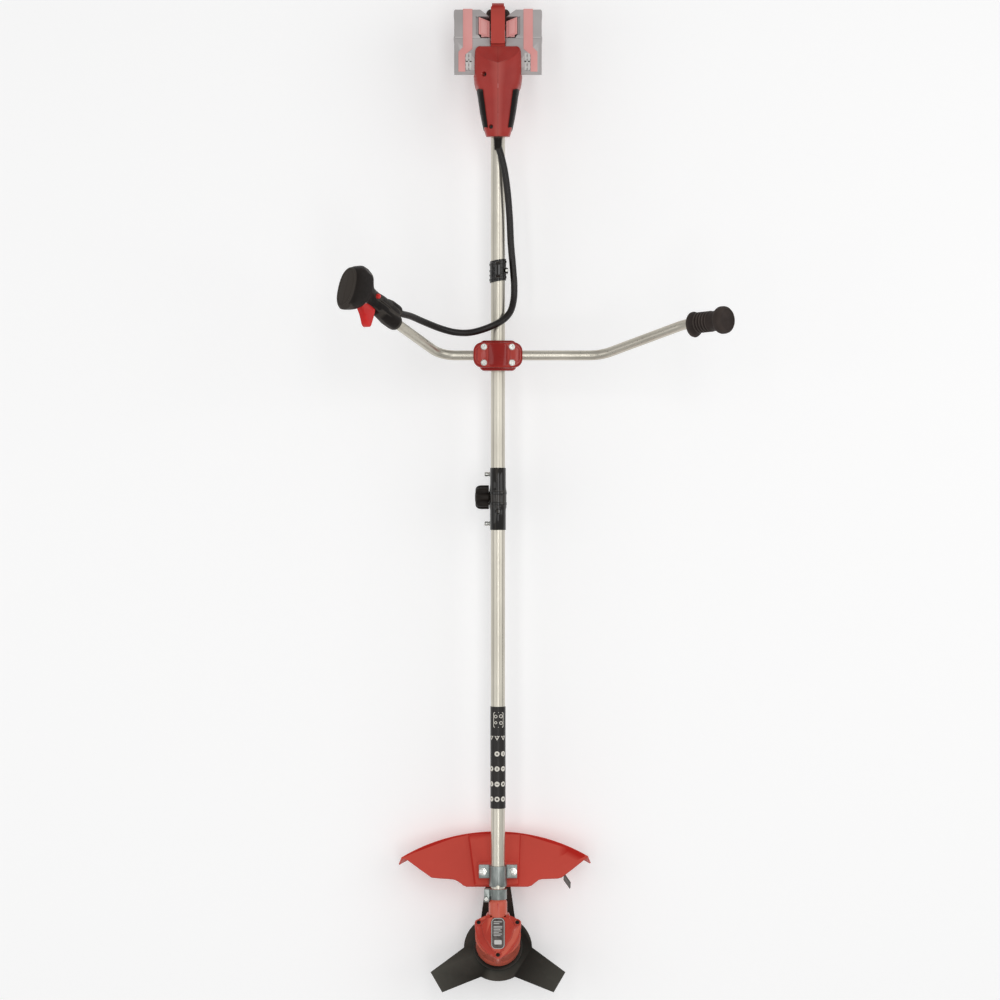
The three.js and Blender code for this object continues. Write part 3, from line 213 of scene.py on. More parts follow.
def makeFinish(name, look):
    material = bpy.data.materials.new(name)
    material.use_nodes = True
    tree = material.node_tree
    shader = tree.nodes["Principled BSDF"]
    coords = tree.nodes.new("ShaderNodeTexCoord").outputs["Object"]
    mapping = tree.nodes.new("ShaderNodeMapping")
    mapping.inputs["Scale"].default_value = look.get("stretch", (1, 1, 1))
    tree.links.new(coords, mapping.inputs["Vector"])
    skin = mapping.outputs["Vector"]

    blotch = addRange(tree, addNoise(tree, coords, look["tone"]), 0.3, 0.7, 0, 1)
    colour = addMix(tree, blotch, tint(*look["color"]), tint(*look["shade"]))
    if "spangle" in look:
        cells = tree.nodes.new("ShaderNodeTexVoronoi")
        cells.inputs["Scale"].default_value = look["spangle"]
        tree.links.new(coords, cells.inputs["Vector"])
        flake = addRange(tree, cells.outputs["Color"], 0.1, 0.9, 0.0, 0.5)
        colour = addMix(tree, flake, colour, tint(*look["shade"]))
    if "scuff" in look:
        rubbed = addRange(tree, addNoise(tree, coords, 55, 8), 0.56, 0.72, 0, look["scuff"])
        colour = addMix(tree, rubbed, colour, tint(*look["wear"]))
    if "wear" in look:
        edges = tree.nodes.new("ShaderNodeNewGeometry").outputs["Pointiness"]
        rim = addRange(tree, edges, 0.53, 0.6, 0, 0.45)
        colour = addMix(tree, rim, colour, tint(*look["wear"]))
    tree.links.new(colour, shader.inputs["Base Color"])

    grainScale, grainDepth = look["grain"]
    grain = addNoise(tree, skin, grainScale, 2)
    low, high = look["rough"]
    tree.links.new(addRange(tree, addNoise(tree, skin, grainScale / 6, 4), 0.3, 0.7, low, high),
                   shader.inputs["Roughness"])
    bump = tree.nodes.new("ShaderNodeBump")
    bump.inputs["Strength"].default_value = grainDepth
    bump.inputs["Distance"].default_value = 0.0006
    tree.links.new(grain, bump.inputs["Height"])
    tree.links.new(bump.outputs["Normal"], shader.inputs["Normal"])

    shader.inputs["Metallic"].default_value = look.get("metal", 0)
    shader.inputs["Specular IOR Level"].default_value = look.get("gleam", 0.18)
    shader.inputs["Coat Weight"].default_value = look.get("coat", 0)
    shader.inputs["Coat Roughness"].default_value = 0.06
    return material


finish = {name: makeFinish(name, look) for name, look in finishes.items()}
print("finishes made")


# ---- modelling steps

def deselect():
    if bpy.context.mode != "OBJECT":
        bpy.ops.object.mode_set(mode="OBJECT")
    bpy.ops.object.select_all(action="DESELECT")


def activate(piece):
    deselect()
    piece.select_set(True)
    bpy.context.view_layer.objects.active = piece


# Selects what passes the test in edit mode: the test gets its middle in millimetres and itself.
def pick(kind, test):
    bpy.ops.mesh.select_mode(type=kind)
    bpy.ops.mesh.select_all(action="DESELECT")
    shape = bmesh.from_edit_mesh(bpy.context.object.data)
    items = {"FACE": shape.faces, "EDGE": shape.edges, "VERT": shape.verts}[kind]
    shape.normal_update()
    for item in items:
        if kind == "VERT":
            middle = item.co
        elif kind == "EDGE":
            middle = (item.verts[0].co + item.verts[1].co) / 2
        else:
            middle = item.calc_center_median()
        if test(middle / mm, item):
            item.select_set(True)
    shape.select_flush_mode()
    bmesh.update_edit_mesh(bpy.context.object.data)


def edit(piece):
    activate(piece)
    bpy.ops.object.mode_set(mode="EDIT")


# Rounds the edges that pass the test.
def bevelWhere(piece, test, width, segments):
    edit(piece)
    pick("EDGE", test)
    bpy.ops.mesh.bevel(offset=width * mm, segments=segments, affect="EDGES")
    bpy.ops.object.mode_set(mode="OBJECT")


def looseEdges(mesh):
    shape = bmesh.new()
    shape.from_mesh(mesh)
    count = sum(1 for edge in shape.edges if not edge.is_manifold)
    shape.free()
    return count


def closeUp(piece):
    edit(piece)
    bpy.ops.mesh.select_all(action="SELECT")
    bpy.ops.mesh.remove_doubles(threshold=2e-6)
    bpy.ops.mesh.normals_make_consistent(inside=False)
    bpy.ops.object.mode_set(mode="OBJECT")
    return piece


# Rings stacked along Z, each (along, half width, half depth, shift in X, shift in Y), joined by
# extrusions. square above 2 makes the rings fuller at their corners.
def stack(rings, sides=64, square=2.0, section=None):
    deselect()
    along, wide, deep, shiftX, shiftY = rings[0]
    isTube = rings[0] == rings[-1]
    bpy.ops.mesh.primitive_circle_add(vertices=sides, radius=mm, location=(0, 0, 0),
                                      fill_type="NOTHING" if isTube else "NGON")
    piece = bpy.context.object
    bpy.ops.object.mode_set(mode="EDIT")
    bpy.ops.mesh.select_mode(type="EDGE" if isTube else "FACE")
    shape = bmesh.from_edit_mesh(piece.data)
    for k, vertex in enumerate(shape.verts):
        if section:
            vertex.co = Vector((section[k][0], section[k][1], 0)) * mm
        elif square != 2.0:
            x, y = vertex.co.x / mm, vertex.co.y / mm
            reach = (abs(x) ** square + abs(y) ** square) ** (1 / square)
            vertex.co = Vector((x / reach, y / reach, 0)) * mm
    bmesh.update_edit_mesh(piece.data)
    bpy.ops.mesh.select_all(action="SELECT")
    bpy.ops.transform.resize(value=(wide, deep, 1), center_override=(0, 0, 0))
    bpy.ops.transform.translate(value=Vector((shiftX, shiftY, along)) * mm)
    last = rings[0]
    for ring in rings[1:]:
        step = Vector((ring[3] - last[3], ring[4] - last[4], ring[0] - last[0])) * mm
        bpy.ops.mesh.extrude_region_move(TRANSFORM_OT_translate={"value": step})
        if ring[1] == 0:
            bpy.ops.mesh.merge(type="CENTER")
        else:
            centre = Vector((ring[3], ring[4], ring[0])) * mm
            grow = (ring[1] / last[1], ring[2] / last[2], 1)
            bpy.ops.transform.resize(value=grow, center_override=centre)
        last = ring
    bpy.ops.object.mode_set(mode="OBJECT")
    return closeUp(piece)


def turn(profile, sides=64):
    return stack([(along, radius, radius, 0, 0) for radius, along in profile], sides)


# A flat outline in X and Y, extruded from one height to another, its rims eased.
def slab(points, low, high, ease=0, segments=3):
    low, high = sorted((low, high))
    deselect()
    bpy.ops.mesh.primitive_circle_add(vertices=len(points), radius=mm, location=(0, 0, 0),
                                      fill_type="NGON")
    piece = bpy.context.object
    bpy.ops.object.mode_set(mode="EDIT")
    shape = bmesh.from_edit_mesh(piece.data)
    for vertex, (x, y) in zip(shape.verts, points):
        vertex.co = Vector((x, y, low)) * mm
    bmesh.update_edit_mesh(piece.data)
    bpy.ops.mesh.select_mode(type="FACE")
    bpy.ops.mesh.select_all(action="SELECT")
    bpy.ops.mesh.extrude_region_move(TRANSFORM_OT_translate={"value": (0, 0, (high - low) * mm)})
    closeUp(piece)
    return soften(piece, ease, segments) if ease else piece


def block(corner, opposite, ease=0, segments=3):
    deselect()
    size = [abs(b - a) for a, b in zip(corner, opposite)]
    middle = [(a + b) / 2 * mm for a, b in zip(corner, opposite)]
    bpy.ops.mesh.primitive_cube_add(size=mm, location=middle, scale=size)
    piece = bpy.context.object
    bpy.ops.object.transform_apply(location=True, rotation=True, scale=True)
    return soften(piece, ease, segments) if ease else piece


def rod(radius, start, end, sides=32):
    direction = Vector(end) - Vector(start)
    piece = turn([(radius, 0), (radius, direction.length)], sides)
    return put(piece, aim(start, end))


# Rounds the edges that are sharper than the angle, by less where the full width would tear the
# piece.
def soften(piece, width, segments=3, angle=30):
    activate(piece)
    bevel = piece.modifiers.new("soften", "BEVEL")
    bevel.segments = segments
    bevel.limit_method = "ANGLE"
    bevel.angle_limit = math.radians(angle)
    bevel.use_clamp_overlap = True
    for share in (1, 0.6, 0.3, 0.15):
        bevel.width = width * share * mm
        rounded = piece.evaluated_get(bpy.context.evaluated_depsgraph_get())
        if looseEdges(rounded.data) == 0:
            bpy.ops.object.modifier_apply(modifier="soften")
            return piece
    piece.modifiers.remove(bevel)
    return piece


def combine(piece, others, operation):
    for other in others:
        activate(piece)
        step = piece.modifiers.new("combine", "BOOLEAN")
        step.operation = operation
        step.object = other
        step.solver = "EXACT"
        bpy.ops.object.modifier_apply(modifier="combine")
        bpy.data.objects.remove(other)
        if looseEdges(piece.data):
            closeUp(piece)
    return piece


def carve(piece, *tools):
    return combine(piece, tools, "DIFFERENCE")


def weld(piece, *others):
    return combine(piece, others, "UNION")


def gather(piece, *others):
    activate(piece)
    for other in others:
        other.select_set(True)
    bpy.ops.object.join()
    return piece


def twin(piece):
    activate(piece)
    bpy.ops.object.duplicate(linked=False)
    return bpy.context.object


# Local Z runs from start to end; both in millimetres in the piece's own frame.
def aim(start, end):
    direction = (Vector(end) - Vector(start)).normalized()
    turned = Vector((0, 0, 1)).rotation_difference(direction).to_matrix().to_4x4()
    return Matrix.Translation(Vector(start) * mm) @ turned


def put(piece, matrix):
    activate(piece)
    piece.matrix_world = matrix @ piece.matrix_world
    bpy.ops.object.transform_apply(location=True, rotation=True, scale=True)
    return piece


def putAll(pieces, matrix):
    return [put(piece, matrix) for piece in pieces]


def basis(x, y, z, origin):
    matrix = Matrix((x, y, z)).transposed().to_4x4()
    matrix.translation = origin
    return matrix


toolFrame = Matrix.Translation((0, 0, axisHeight * mm))
# Lying: local X stays, local Y points up and local Z runs towards the blade. Sideways: an outline's
# X runs along Y and its Y up, and its thickness runs along X.
lying = basis(Vector((1, 0, 0)), Vector((0, 0, 1)), Vector((0, -1, 0)), Vector())
sideways = basis(Vector((0, 1, 0)), Vector((0, 0, 1)), Vector((1, 0, 0)), Vector())
lyingFrame = toolFrame @ lying


def done(piece, name, look, body, nodes=(), angle=32):
    activate(piece)
    bpy.ops.object.transform_apply(location=True, rotation=True, scale=True)
    bpy.ops.object.shade_smooth_by_angle(angle=math.radians(angle))
    piece.name = name
    piece.data.name = name
    piece.data.materials.clear()
    piece.data.materials.append(finish[look])
    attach(piece, body)
    if nodes:
        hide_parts(*nodes)
    return piece


def arcPoints(centre, radius, first, last, count):
    angles = [math.radians(first + (last - first) * k / (count - 1)) for k in range(count)]
    return [(centre[0] + radius * math.cos(a), centre[1] + radius * math.sin(a)) for a in angles]


def disc(radius, count):
    return arcPoints((0, 0), radius, 0, 360 - 360 / count, count)


def roundedOutline(width, length, radius, count=7):
    x, y = width / 2 - radius, length / 2 - radius
    points = []
    for cx, cy, start in ((x, y, 0), (-x, y, 90), (-x, -y, 180), (x, -y, 270)):
        points += arcPoints((cx, cy), radius, start, start + 90, count)
    return points


def curve(name, points, radius, smoothness=8):
    data = bpy.data.curves.new(name, "CURVE")
    data.dimensions = "3D"
    data.bevel_depth = radius * mm
    data.bevel_resolution = smoothness
    data.use_fill_caps = True
    line = data.splines.new("POLY")
    line.points.add(len(points) - 1)
    for point, place in zip(line.points, points):
        point.co = (*place, 1)
    piece = bpy.data.objects.new(name, data)
    bpy.context.scene.collection.objects.link(piece)
    return piece


buildStudio()
print("studio built")


# ---- control cable

cable = {
    "radius": 6,
    "length": 0.569,
    # x, y and height above the tube's top, from the gland to the grip
    "route": [
        (0, -237.6, 9.5), (0.1, -249, 9.5), (5.4, -267, 8.9), (11.5, -293, 6.9), (17, -332, 3),
        (20.8, -378, -3.5), (22.8, -420, -9.5), (26.6, -463, -14.5), (28.8, -497, -15),
        (27.5, -521, -12), (22, -541, -4.5), (12, -554, 3), (-1, -563, 8.3), (-25, -573.5, 12),
        (-50, -580, 17), (-75, -580, 25.5), (-100, -574.5, 39.5), (-128, -565, 63.5),
        (-150, -557.2, 90.5), (-168.14, -553.84, 118.26), (-172.79, -550.83, 125.35),
    ],
}


# The centripetal spline through the route's points.
def smoothRoute(points, steps=6):
    places = [2 * points[0] - points[1], *points, 2 * points[-1] - points[-2]]
    out = []
    for i in range(1, len(places) - 2):
        a, b, c, d = places[i - 1:i + 3]
        gaps = [math.sqrt((q - p).length) for p, q in ((a, b), (b, c), (c, d))]
        first = (b - a) / gaps[0] - (c - a) / (gaps[0] + gaps[1]) + (c - b) / gaps[1]
        second = (c - b) / gaps[1] - (d - b) / (gaps[1] + gaps[2]) + (d - c) / gaps[2]
        first, second = first * gaps[1], second * gaps[1]
        for k in range(steps):
            t = k / steps
            out.append(
                (2 * t ** 3 - 3 * t ** 2 + 1) * b + (t ** 3 - 2 * t ** 2 + t) * first
                + (3 * t ** 2 - 2 * t ** 3) * c + (t ** 3 - t ** 2) * second)
    out.append(points[-1])
    return out


def buildCable():
    route = [at(x, y, z + tubeRadius) for x, y, z in cable["route"]]
    line = curve("controlCable", smoothRoute(route), cable["radius"], 7)
    line.data.materials.append(finish["cableBlack"])
    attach(line, "frame")
    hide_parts("control_cable")

    # a short tapered sleeve holds the cable where it leaves the gland
    relief = turn([(6.1, 0), (7.2, 0), (7.4, 1), (7.3, 4), (6.8, 5), (7, 7), (7, 9), (6.6, 10),
                   (6.8, 12), (6.8, 14), (6.4, 15), (6.5, 17), (6.4, 20), (6.1, 21), (6.1, 0)], 40)
    put(relief, lyingFrame @ shift(0, 22, 236.6))
    done(relief, "cableRelief", "mouldedBlack", "frame")

    gland = turn([(6.2, -1), (7.4, -1.6), (7.4, 0), (7.4, 15), (0, 15)], 40)
    put(gland, lyingFrame @ shift(0, 22, 222))
    done(gland, "cableGland", "ribbedRubber", "frame", ["cable_gland"])


buildCable()
print("cable built")


# ---- tubes

def buildTubes():
    for name, node, first, last, body in (
            ("upperShaft", "upper_tube", 192, 871.7, "frame"),
            ("lowerShaft", "lower_tube", 872.3, 1603, "lower_unit")):
        rim = 0.5
        profile = [
            (tubeBore, first + rim), (tubeBore + rim, first), (tubeRadius - rim, first),
            (tubeRadius, first + rim), (tubeRadius, last - rim), (tubeRadius - rim, last),
            (tubeBore + rim, last), (tubeBore, last - rim), (tubeBore, first + rim),
        ]
        tube = put(turn(profile, 72), lyingFrame)
        done(tube, name, "satinAluminium", body, [node])


buildTubes()
print("tubes built")


# ---- battery housing, in the lying frame: X across, Y up, Z towards the blade

housing = {
    # distance from the rear end, half width, crest and belly
    "stations": [
        (79, 35, 58.6, -54), (79.6, 37.6, 59.4, -54), (81, 39.6, 60, -54), (83.4, 41.2, 60.4, -54),
        (88, 42.4, 60.6, -54), (100, 43.2, 60.4, -54), (116, 43.4, 60, -54),
        (128, 43, 59.4, -54), (138, 42, 58, -53), (144, 40.6, 57, -52), (149, 37.8, 56.2, -50.5),
        (153, 36.4, 55.4, -49.5), (160, 35, 54, -48), (172, 33.4, 52, -45.6), (188, 31, 49, -42),
        (204, 28, 45.6, -36), (219, 24.8, 42.2, -29), (228, 22.4, 39.6, -24),
        (233, 20.6, 37.6, -20.6), (234.6, 19.6, 36.6, -19.4), (235.3, 18.2, 35.2, -18),
    ],
    # the right half of the section, from the crest round to the belly, in half sizes
    "section": [
        (0, 1), (0.28, 0.965), (0.55, 0.905), (0.8, 0.81), (0.93, 0.7), (0.99, 0.45), (1, 0.1),
        (0.985, -0.35), (0.93, -0.7), (0.8, -0.9), (0.5, -0.985), (0.22, -1), (0, -1),
    ],
    "wall": 2.6,
    "screws": [
        {"name": "rearShellScrew", "place": (-20.4, 45, 130), "out": (-0.42, 0.907, 0), "well": 4.4,
         "node": "housing_screw_rear"},
        {"name": "frontShellScrew", "place": (-11, 33, 219.4), "out": (-0.2, 0.98, 0), "well": 3.8,
         "node": "housing_screw_front"},
    ],
    # the pads' outline seen from above: share of the half width, then distance
    "pad": [(0.74, 156), (0.74, 221), (1, 216), (1, 150)],
}


def housingSkin(inset, first=0, last=999):
    half = housing["section"]
    # one round of corner cutting keeps the crest and softens the rest
    soft = [half[0]]
    for (x1, y1), (x2, y2) in zip(half[1:-1], half[2:]):
        soft += [(0.75 * x1 + 0.25 * x2, 0.75 * y1 + 0.25 * y2),
                 (0.25 * x1 + 0.75 * x2, 0.25 * y1 + 0.75 * y2)]
    soft.append(half[-1])
    section = soft + [(-x, y) for x, y in reversed(soft[1:-1])]
    rings = []
    for along, wide, crest, belly in housing["stations"]:
        if first <= along <= last:
            rings.append((along, wide - inset, (crest - belly) / 2 - inset, 0, (crest + belly) / 2))
    return stack(rings, len(section), section=section)


def buildHousing():
    shell = housingSkin(0)
    # the sloping rear of the roof meets the ridge in a curved crease, with a fine lip along it
    rearSlope = shift(0, 60.2, 113.3) @ tilt(-29)
    slope = put(block((-80, 0, -120), (80, 60, 0)), rearSlope)
    sunk = put(block((-80, -0.7, -120), (80, 30, 0)), rearSlope)
    combine(sunk, [housingSkin(1.1)], "INTERSECT")
    # the front face leans back towards its foot
    lean = put(block((-60, -120, 0), (60, 0, 40)),
               shift(0, 31, 235.35) @ tilt(7.5))
    under = block((-100, -100, 20), (100, 38.3, 127.9))
    bore = rod(tubeRadius + clearance, (0, 0, 170), (0, 0, 260), 48)
    port = rod(7.6, (0, 22, 221), (0, 22, 250), 32)
    hollow = housingSkin(housing["wall"], 138, 206)
    carve(shell, slope, sunk, under, lean, hollow, bore, port)

    # sunk screw holes in the left half's roof
    for screw in housing["screws"]:
        place = Vector(screw["place"])
        carve(shell, rod(screw["well"], place, place + Vector(screw["out"]) * 40, 40))
    soften(shell, 0.6, 2, 24)
    for side, name in ((-1, "left"), (1, "right")):
        part = twin(shell)
        edit(part)
        bpy.ops.mesh.select_all(action="SELECT")
        bpy.ops.mesh.bisect(plane_co=(side * 0.16 * mm, 0, 0), plane_no=(-side, 0, 0),
                            use_fill=True, clear_outer=True)
        bpy.ops.object.mode_set(mode="OBJECT")
        put(part, lyingFrame)
        done(part, "housing" + name.title(), "mouldedRed", "frame", ["housing_shell_" + name],
             angle=28)
    bpy.data.objects.remove(shell)


def halfWidthAt(along):
    for (first, low, *_), (last, high, *_) in zip(housing["stations"], housing["stations"][1:]):
        if first <= along <= last:
            return low + (high - low) * (along - first) / (last - first)


# Soft pads that wrap the eaves: a thin skin over the shell, kept inside an outline.
def buildPads():
    for side, name in ((-1, "left"), (1, "right")):
        pad = housingSkin(-1.2, 144, 228)
        carve(pad, housingSkin(-0.2))
        outline = [(side * (halfWidthAt(along) * share + (0 if share < 1 else 9)), along)
                   for share, along in housing["pad"]]
        strip = slab(outline, -70, 20)
        put(strip, lying)
        combine(pad, [strip], "INTERSECT")
        soften(pad, 0.4, 2, 40)
        put(pad, lyingFrame)
        done(pad, "gripPad" + name.title(), "mouldedBlack", "frame", ["side_pad_" + name])


def buildHousingScrews():
    for screw in housing["screws"]:
        head = turn([(0.01, 0), (2.9, 0), (2.9, 1.6), (2.4, 2.2), (1.2, 2.2), (1.2, 1.0),
                     (0.01, 1.0)], 32)
        weld(head, turn([(1.8, -8), (1.8, 0.1)], 24))
        place = Vector(screw["place"])
        put(head, lyingFrame @ aim(place + Vector(screw["out"]) * 0.1,
                                   place + Vector(screw["out"])))
        done(head, screw["name"], "darkSteel", "frame", [screw["node"]])


buildHousing()
buildPads()
buildHousingScrews()
print("housing built")


# ---- rear stand, foot and batteries

stand = {
    # distance along Y and height, round the web's side
    "outline": [
        (-127.4, 37.8), (-127.4, -30), (-84, -46), (-34, -78), (-18, -98), (-16, -104.6),
        (16, -104.6), (17, -98), (16.6, -88), (15, -66), (12.6, -40), (8, -12), (2, 16), (-3, 31),
        (-9, 40), (-17, 45), (-30, 47), (-74.9, 47), (-74.9, 37.8),
    ],
    "panel": [(-62, 2), (-62, -46), (-34, -66), (-15, -84), (-14, -40), (-16, 10), (-22, 30),
              (-30, 38), (-62, 38)],
    "half": 12.3,
    "rails": (-16, 16),
}


def buildStand():
    web = slab(stand["outline"], -stand["half"], stand["half"])
    # the rear edge is narrower, and a shallow panel is sunk in each flank
    carve(web, block((-9, -102, 10.6), (40, 60, 20)), block((-9, -102, -20), (40, 60, -10.6)))
    for side in (-1, 1):
        depth = side * (stand["half"] - 1.6)
        carve(web, slab(stand["panel"], depth, side * 20))
    soften(web, 1.4, 3, 40)
    rails = []
    for side in (-1, 1):
        for height in stand["rails"]:
            x = side * stand["half"]
            rails.append(block((-126, height - 2, x - 3), (-64.5, height + 2, x + 3), 0.5, 2))
    weld(web, *rails)
    put(web, toolFrame @ sideways)
    done(web, "standWeb", "standRed", "frame", ["rear_stand"], angle=35)

    foot = slab(roundedOutline(43, 36, 9), 0, 12, 2, 4)
    treads = [block((-30, y - 1, -1), (30, y + 1, 1.2)) for y in range(-12, 13, 6)]
    carve(foot, *treads)
    edit(foot)
    pick("FACE", lambda p, f: f.normal.z > 0.9 and p.z > 11)
    bpy.ops.mesh.inset(thickness=3 * mm, depth=-0.8 * mm)
    bpy.ops.object.mode_set(mode="OBJECT")
    done(foot, "standFoot", "ribbedRubber", "frame", ["rear_foot"])


battery = {
    "inner": 12.8, "width": 64, "front": -127.4, "rear": -13.4, "half": 37.5,
    # raised stripe on the top, in distances from the inner flank and along Y
    "stripe": [(32, -12.6), (48.5, -12.6), (48.5, -80), (56.5, -88), (56.5, -123), (44.5, -123),
               (44.5, -93), (32, -83)],
    "button": [(1.6, -63), (21, -56.6), (21, -26.6), (1.6, -34.6)],
}


def mirrored(points, side):
    return [(side * (battery["inner"] + x), y) for x, y in points]


def buildBattery(side, name):
    body = "battery_%s_unit" % name

    def x(reach):
        return side * (battery["inner"] + reach)

    wide, front, rear, half = battery["width"], battery["front"], battery["rear"], battery["half"]
    plan = [(0, front), (wide, front), (wide, -68), (wide + 0.9, -66), (wide + 0.9, -62),
            (wide, -60), (wide, -28), (wide + 0.8, -26), (wide + 0.8, -17), (wide - 1, rear),
            (18.2, rear), (0, rear - 14.2)]
    case = slab(mirrored(plan, side), -half, half)
    bevelWhere(case, lambda p, e: abs(abs(p.z) - half) < 0.1, 3, 4)
    # the front leans back below its upper rim
    lean = put(block((-200, -40, -120), (200, 0, 0)),
               shift(0, front, half - 7) @ tilt(11))
    plate = battery["button"]
    room = [(-6, plate[0][1] - 0.7), (17.8, plate[0][1] - 0.7), (21.6, -57.2), (21.6, -26),
            (-6, -26)]
    pocket = slab(mirrored(room, side), half - 61, half + 5)
    ledge = slab(mirrored([(-6, plate[0][1] - 2.6), (26, plate[1][1] - 0.8),
                           (26, plate[2][1] + 0.8), (-6, plate[3][1] - 1.8)], side), half - 4.2,
                 half + 5)
    grooves = [block((x(-4), -140, height - 2.6), (x(3.3), -58, height + 2.6))
               for height in stand["rails"]]
    # the joint between the case and its lid, a step across the top, and sunk vents by the front
    seam = block((-100, -64.8, half - 0.7), (100, -63.9, half + 3))
    vents = [block((x(inner), -121 + 8 * k, half - 1.6), (x(inner + 3), -117 + 8 * k, half + 2))
             for k in range(4) for inner in (36, 41)]
    carve(case, lean, pocket, ledge, *grooves, seam, *vents)
    soften(case, 0.5, 2, 40)
    done(put(case, toolFrame), "batteryCase" + name.title(), "batteryGrey", body,
         ["battery_" + name])

    stripe = slab(mirrored(battery["stripe"], side), half - 1, half + 0.8, 0.5, 2)
    back = block((x(32), rear - 1, -20), (x(48.5), rear + 0.7, half - 2), 0.5, 2)
    done(put(gather(stripe, back), toolFrame), "batteryStripe" + name.title(), "batteryPink", body)
    clips = [block((x(inner), -120, half - 1), (x(inner + 4), -90, half + 0.5), 0.5, 2)
             for inner in (33.5, 39.5)]
    bridge = block((x(33.5), -106.5, half - 1), (x(43.5), -103.5, half + 0.5), 0.5, 2)
    done(put(gather(*clips, bridge), toolFrame), "batteryCatch" + name.title(), "contactGrey", body)

    # a slanted plate with a ribbed middle stands on a narrower block inside the case
    button = slab(mirrored(plate, side), half - 3.6, half - 0.2, 0.8, 2)
    foot = block((x(1.6), -61.4, half - 59.5), (x(16.6), -36, half - 3))
    field = slab(mirrored([(6, -59), (17, -55), (17, -31), (6, -35.4)], side), half - 1.4,
                 half + 0.5, 0.5, 2)
    weld(button, foot, field)
    done(put(button, toolFrame), "batteryButton" + name.title(), "batteryPink",
         "battery_%s_latch" % name, ["battery_button_" + name])


buildStand()
for side, name in ((-1, "left"), (1, "right")):
    buildBattery(side, name)
print("stand and batteries built")


# ---- harness clamp

harness = {"middle": -468.8, "length": 38, "inner": 12.8, "outer": 14.7, "eyeHeight": 24.3,
           "screwX": 15.6, "slant": 0.17}


# A socket head screw that stands on Z = 0, its shank below.
def socketScrew(shank, headRadius, headHeight, reach, socket=0.55, floor=0.3):
    screw = turn([(shank, -reach), (shank, 0), (headRadius - 0.2, 0), (headRadius, 0.2),
                  (headRadius, headHeight - 0.5), (headRadius - 0.5, headHeight)], 40)
    key = turn([(headRadius * socket, headHeight * floor), (headRadius * socket, headHeight + 2)],
               6)
    return carve(screw, key)


def buildHarness():
    middle, half = harness["middle"], harness["length"] / 2
    inner, outer = harness["inner"], harness["outer"]
    ring = [(inner - 1, -half), (outer - 0.4, -half), (outer, -half + 0.6), (outer, -half + 3),
            (outer + 0.9, -half + 4), (outer + 0.9, -half + 7), (outer, -half + 8), (outer, -4),
            (outer + 0.9, -3.4), (outer + 0.9, -1.4), (outer, -0.8), (outer, 4), (outer + 0.9, 4.6),
            (outer + 0.9, 6.6), (outer, 7.2), (outer, half - 8), (outer + 0.9, half - 7),
            (outer + 0.9, half - 4), (outer, half - 3), (outer, half - 0.6), (outer - 0.4, half),
            (inner - 1, half), (inner - 1, -half)]
    band = put(turn(ring, 64), tilt(90))
    # the band winds a little, so its ends lie on a slant
    for vertex in band.data.vertices:
        vertex.co.y += harness["slant"] * vertex.co.x
    lug = slab([(-13, inner - 0.6), (13, inner - 0.6)] + arcPoints((7, 26), 7, 0, 90, 9)
               + arcPoints((-7, 26), 7, 90, 180, 9), -5, 5, 1.2, 3)
    put(lug, sideways)
    ear = block((inner + 0.2, -5, -9), (inner + 5.2, 5, 9), 1.2, 3)
    weld(band, lug, ear)
    eye = turn([(5.9, -12), (5.9, 12)], 40)
    eyeLine = aim((-12, 0, harness["eyeHeight"]), (12, 0, harness["eyeHeight"]))
    put(eye, eyeLine @ Matrix.Translation((0, 0, 0.012)))
    bore = rod(inner, (0, -40, 0), (0, 40, 0), 64)
    slit = block((inner - 6, -half - 9, -0.85), (inner + 8, half + 9, 0.75))
    hole = rod(1.8, (harness["screwX"], 0, -6), (harness["screwX"], 0, 12))
    carve(band, slit, eye, bore, hole)
    soften(band, 0.35, 2, 40)
    put(band, toolFrame @ Matrix.Translation((0, middle * mm, 0)))
    done(band, "harnessBand", "enamelBlack", "frame", ["harness_clamp"])

    screw = socketScrew(1.5, 2.7, 2.4, 14.6)
    put(screw, toolFrame @ shift(harness["screwX"], middle, 9.3))
    done(screw, "harnessScrew", "screwSteel", "frame", ["harness_clamp_screw"])


buildHarness()
print("harness clamp built")


# ---- handlebar clamp

bar = {"y": -619.8, "height": 27, "radius": 8.7, "bendReaches": (28, 22, 12)}
clamp = {
    "cap": (86, 44, 15), "top": 46.4, "block": (65, 53, 9), "bolts": (24.6, 13.9),
    "boltHole": 3.3, "headHole": 5.6,
}


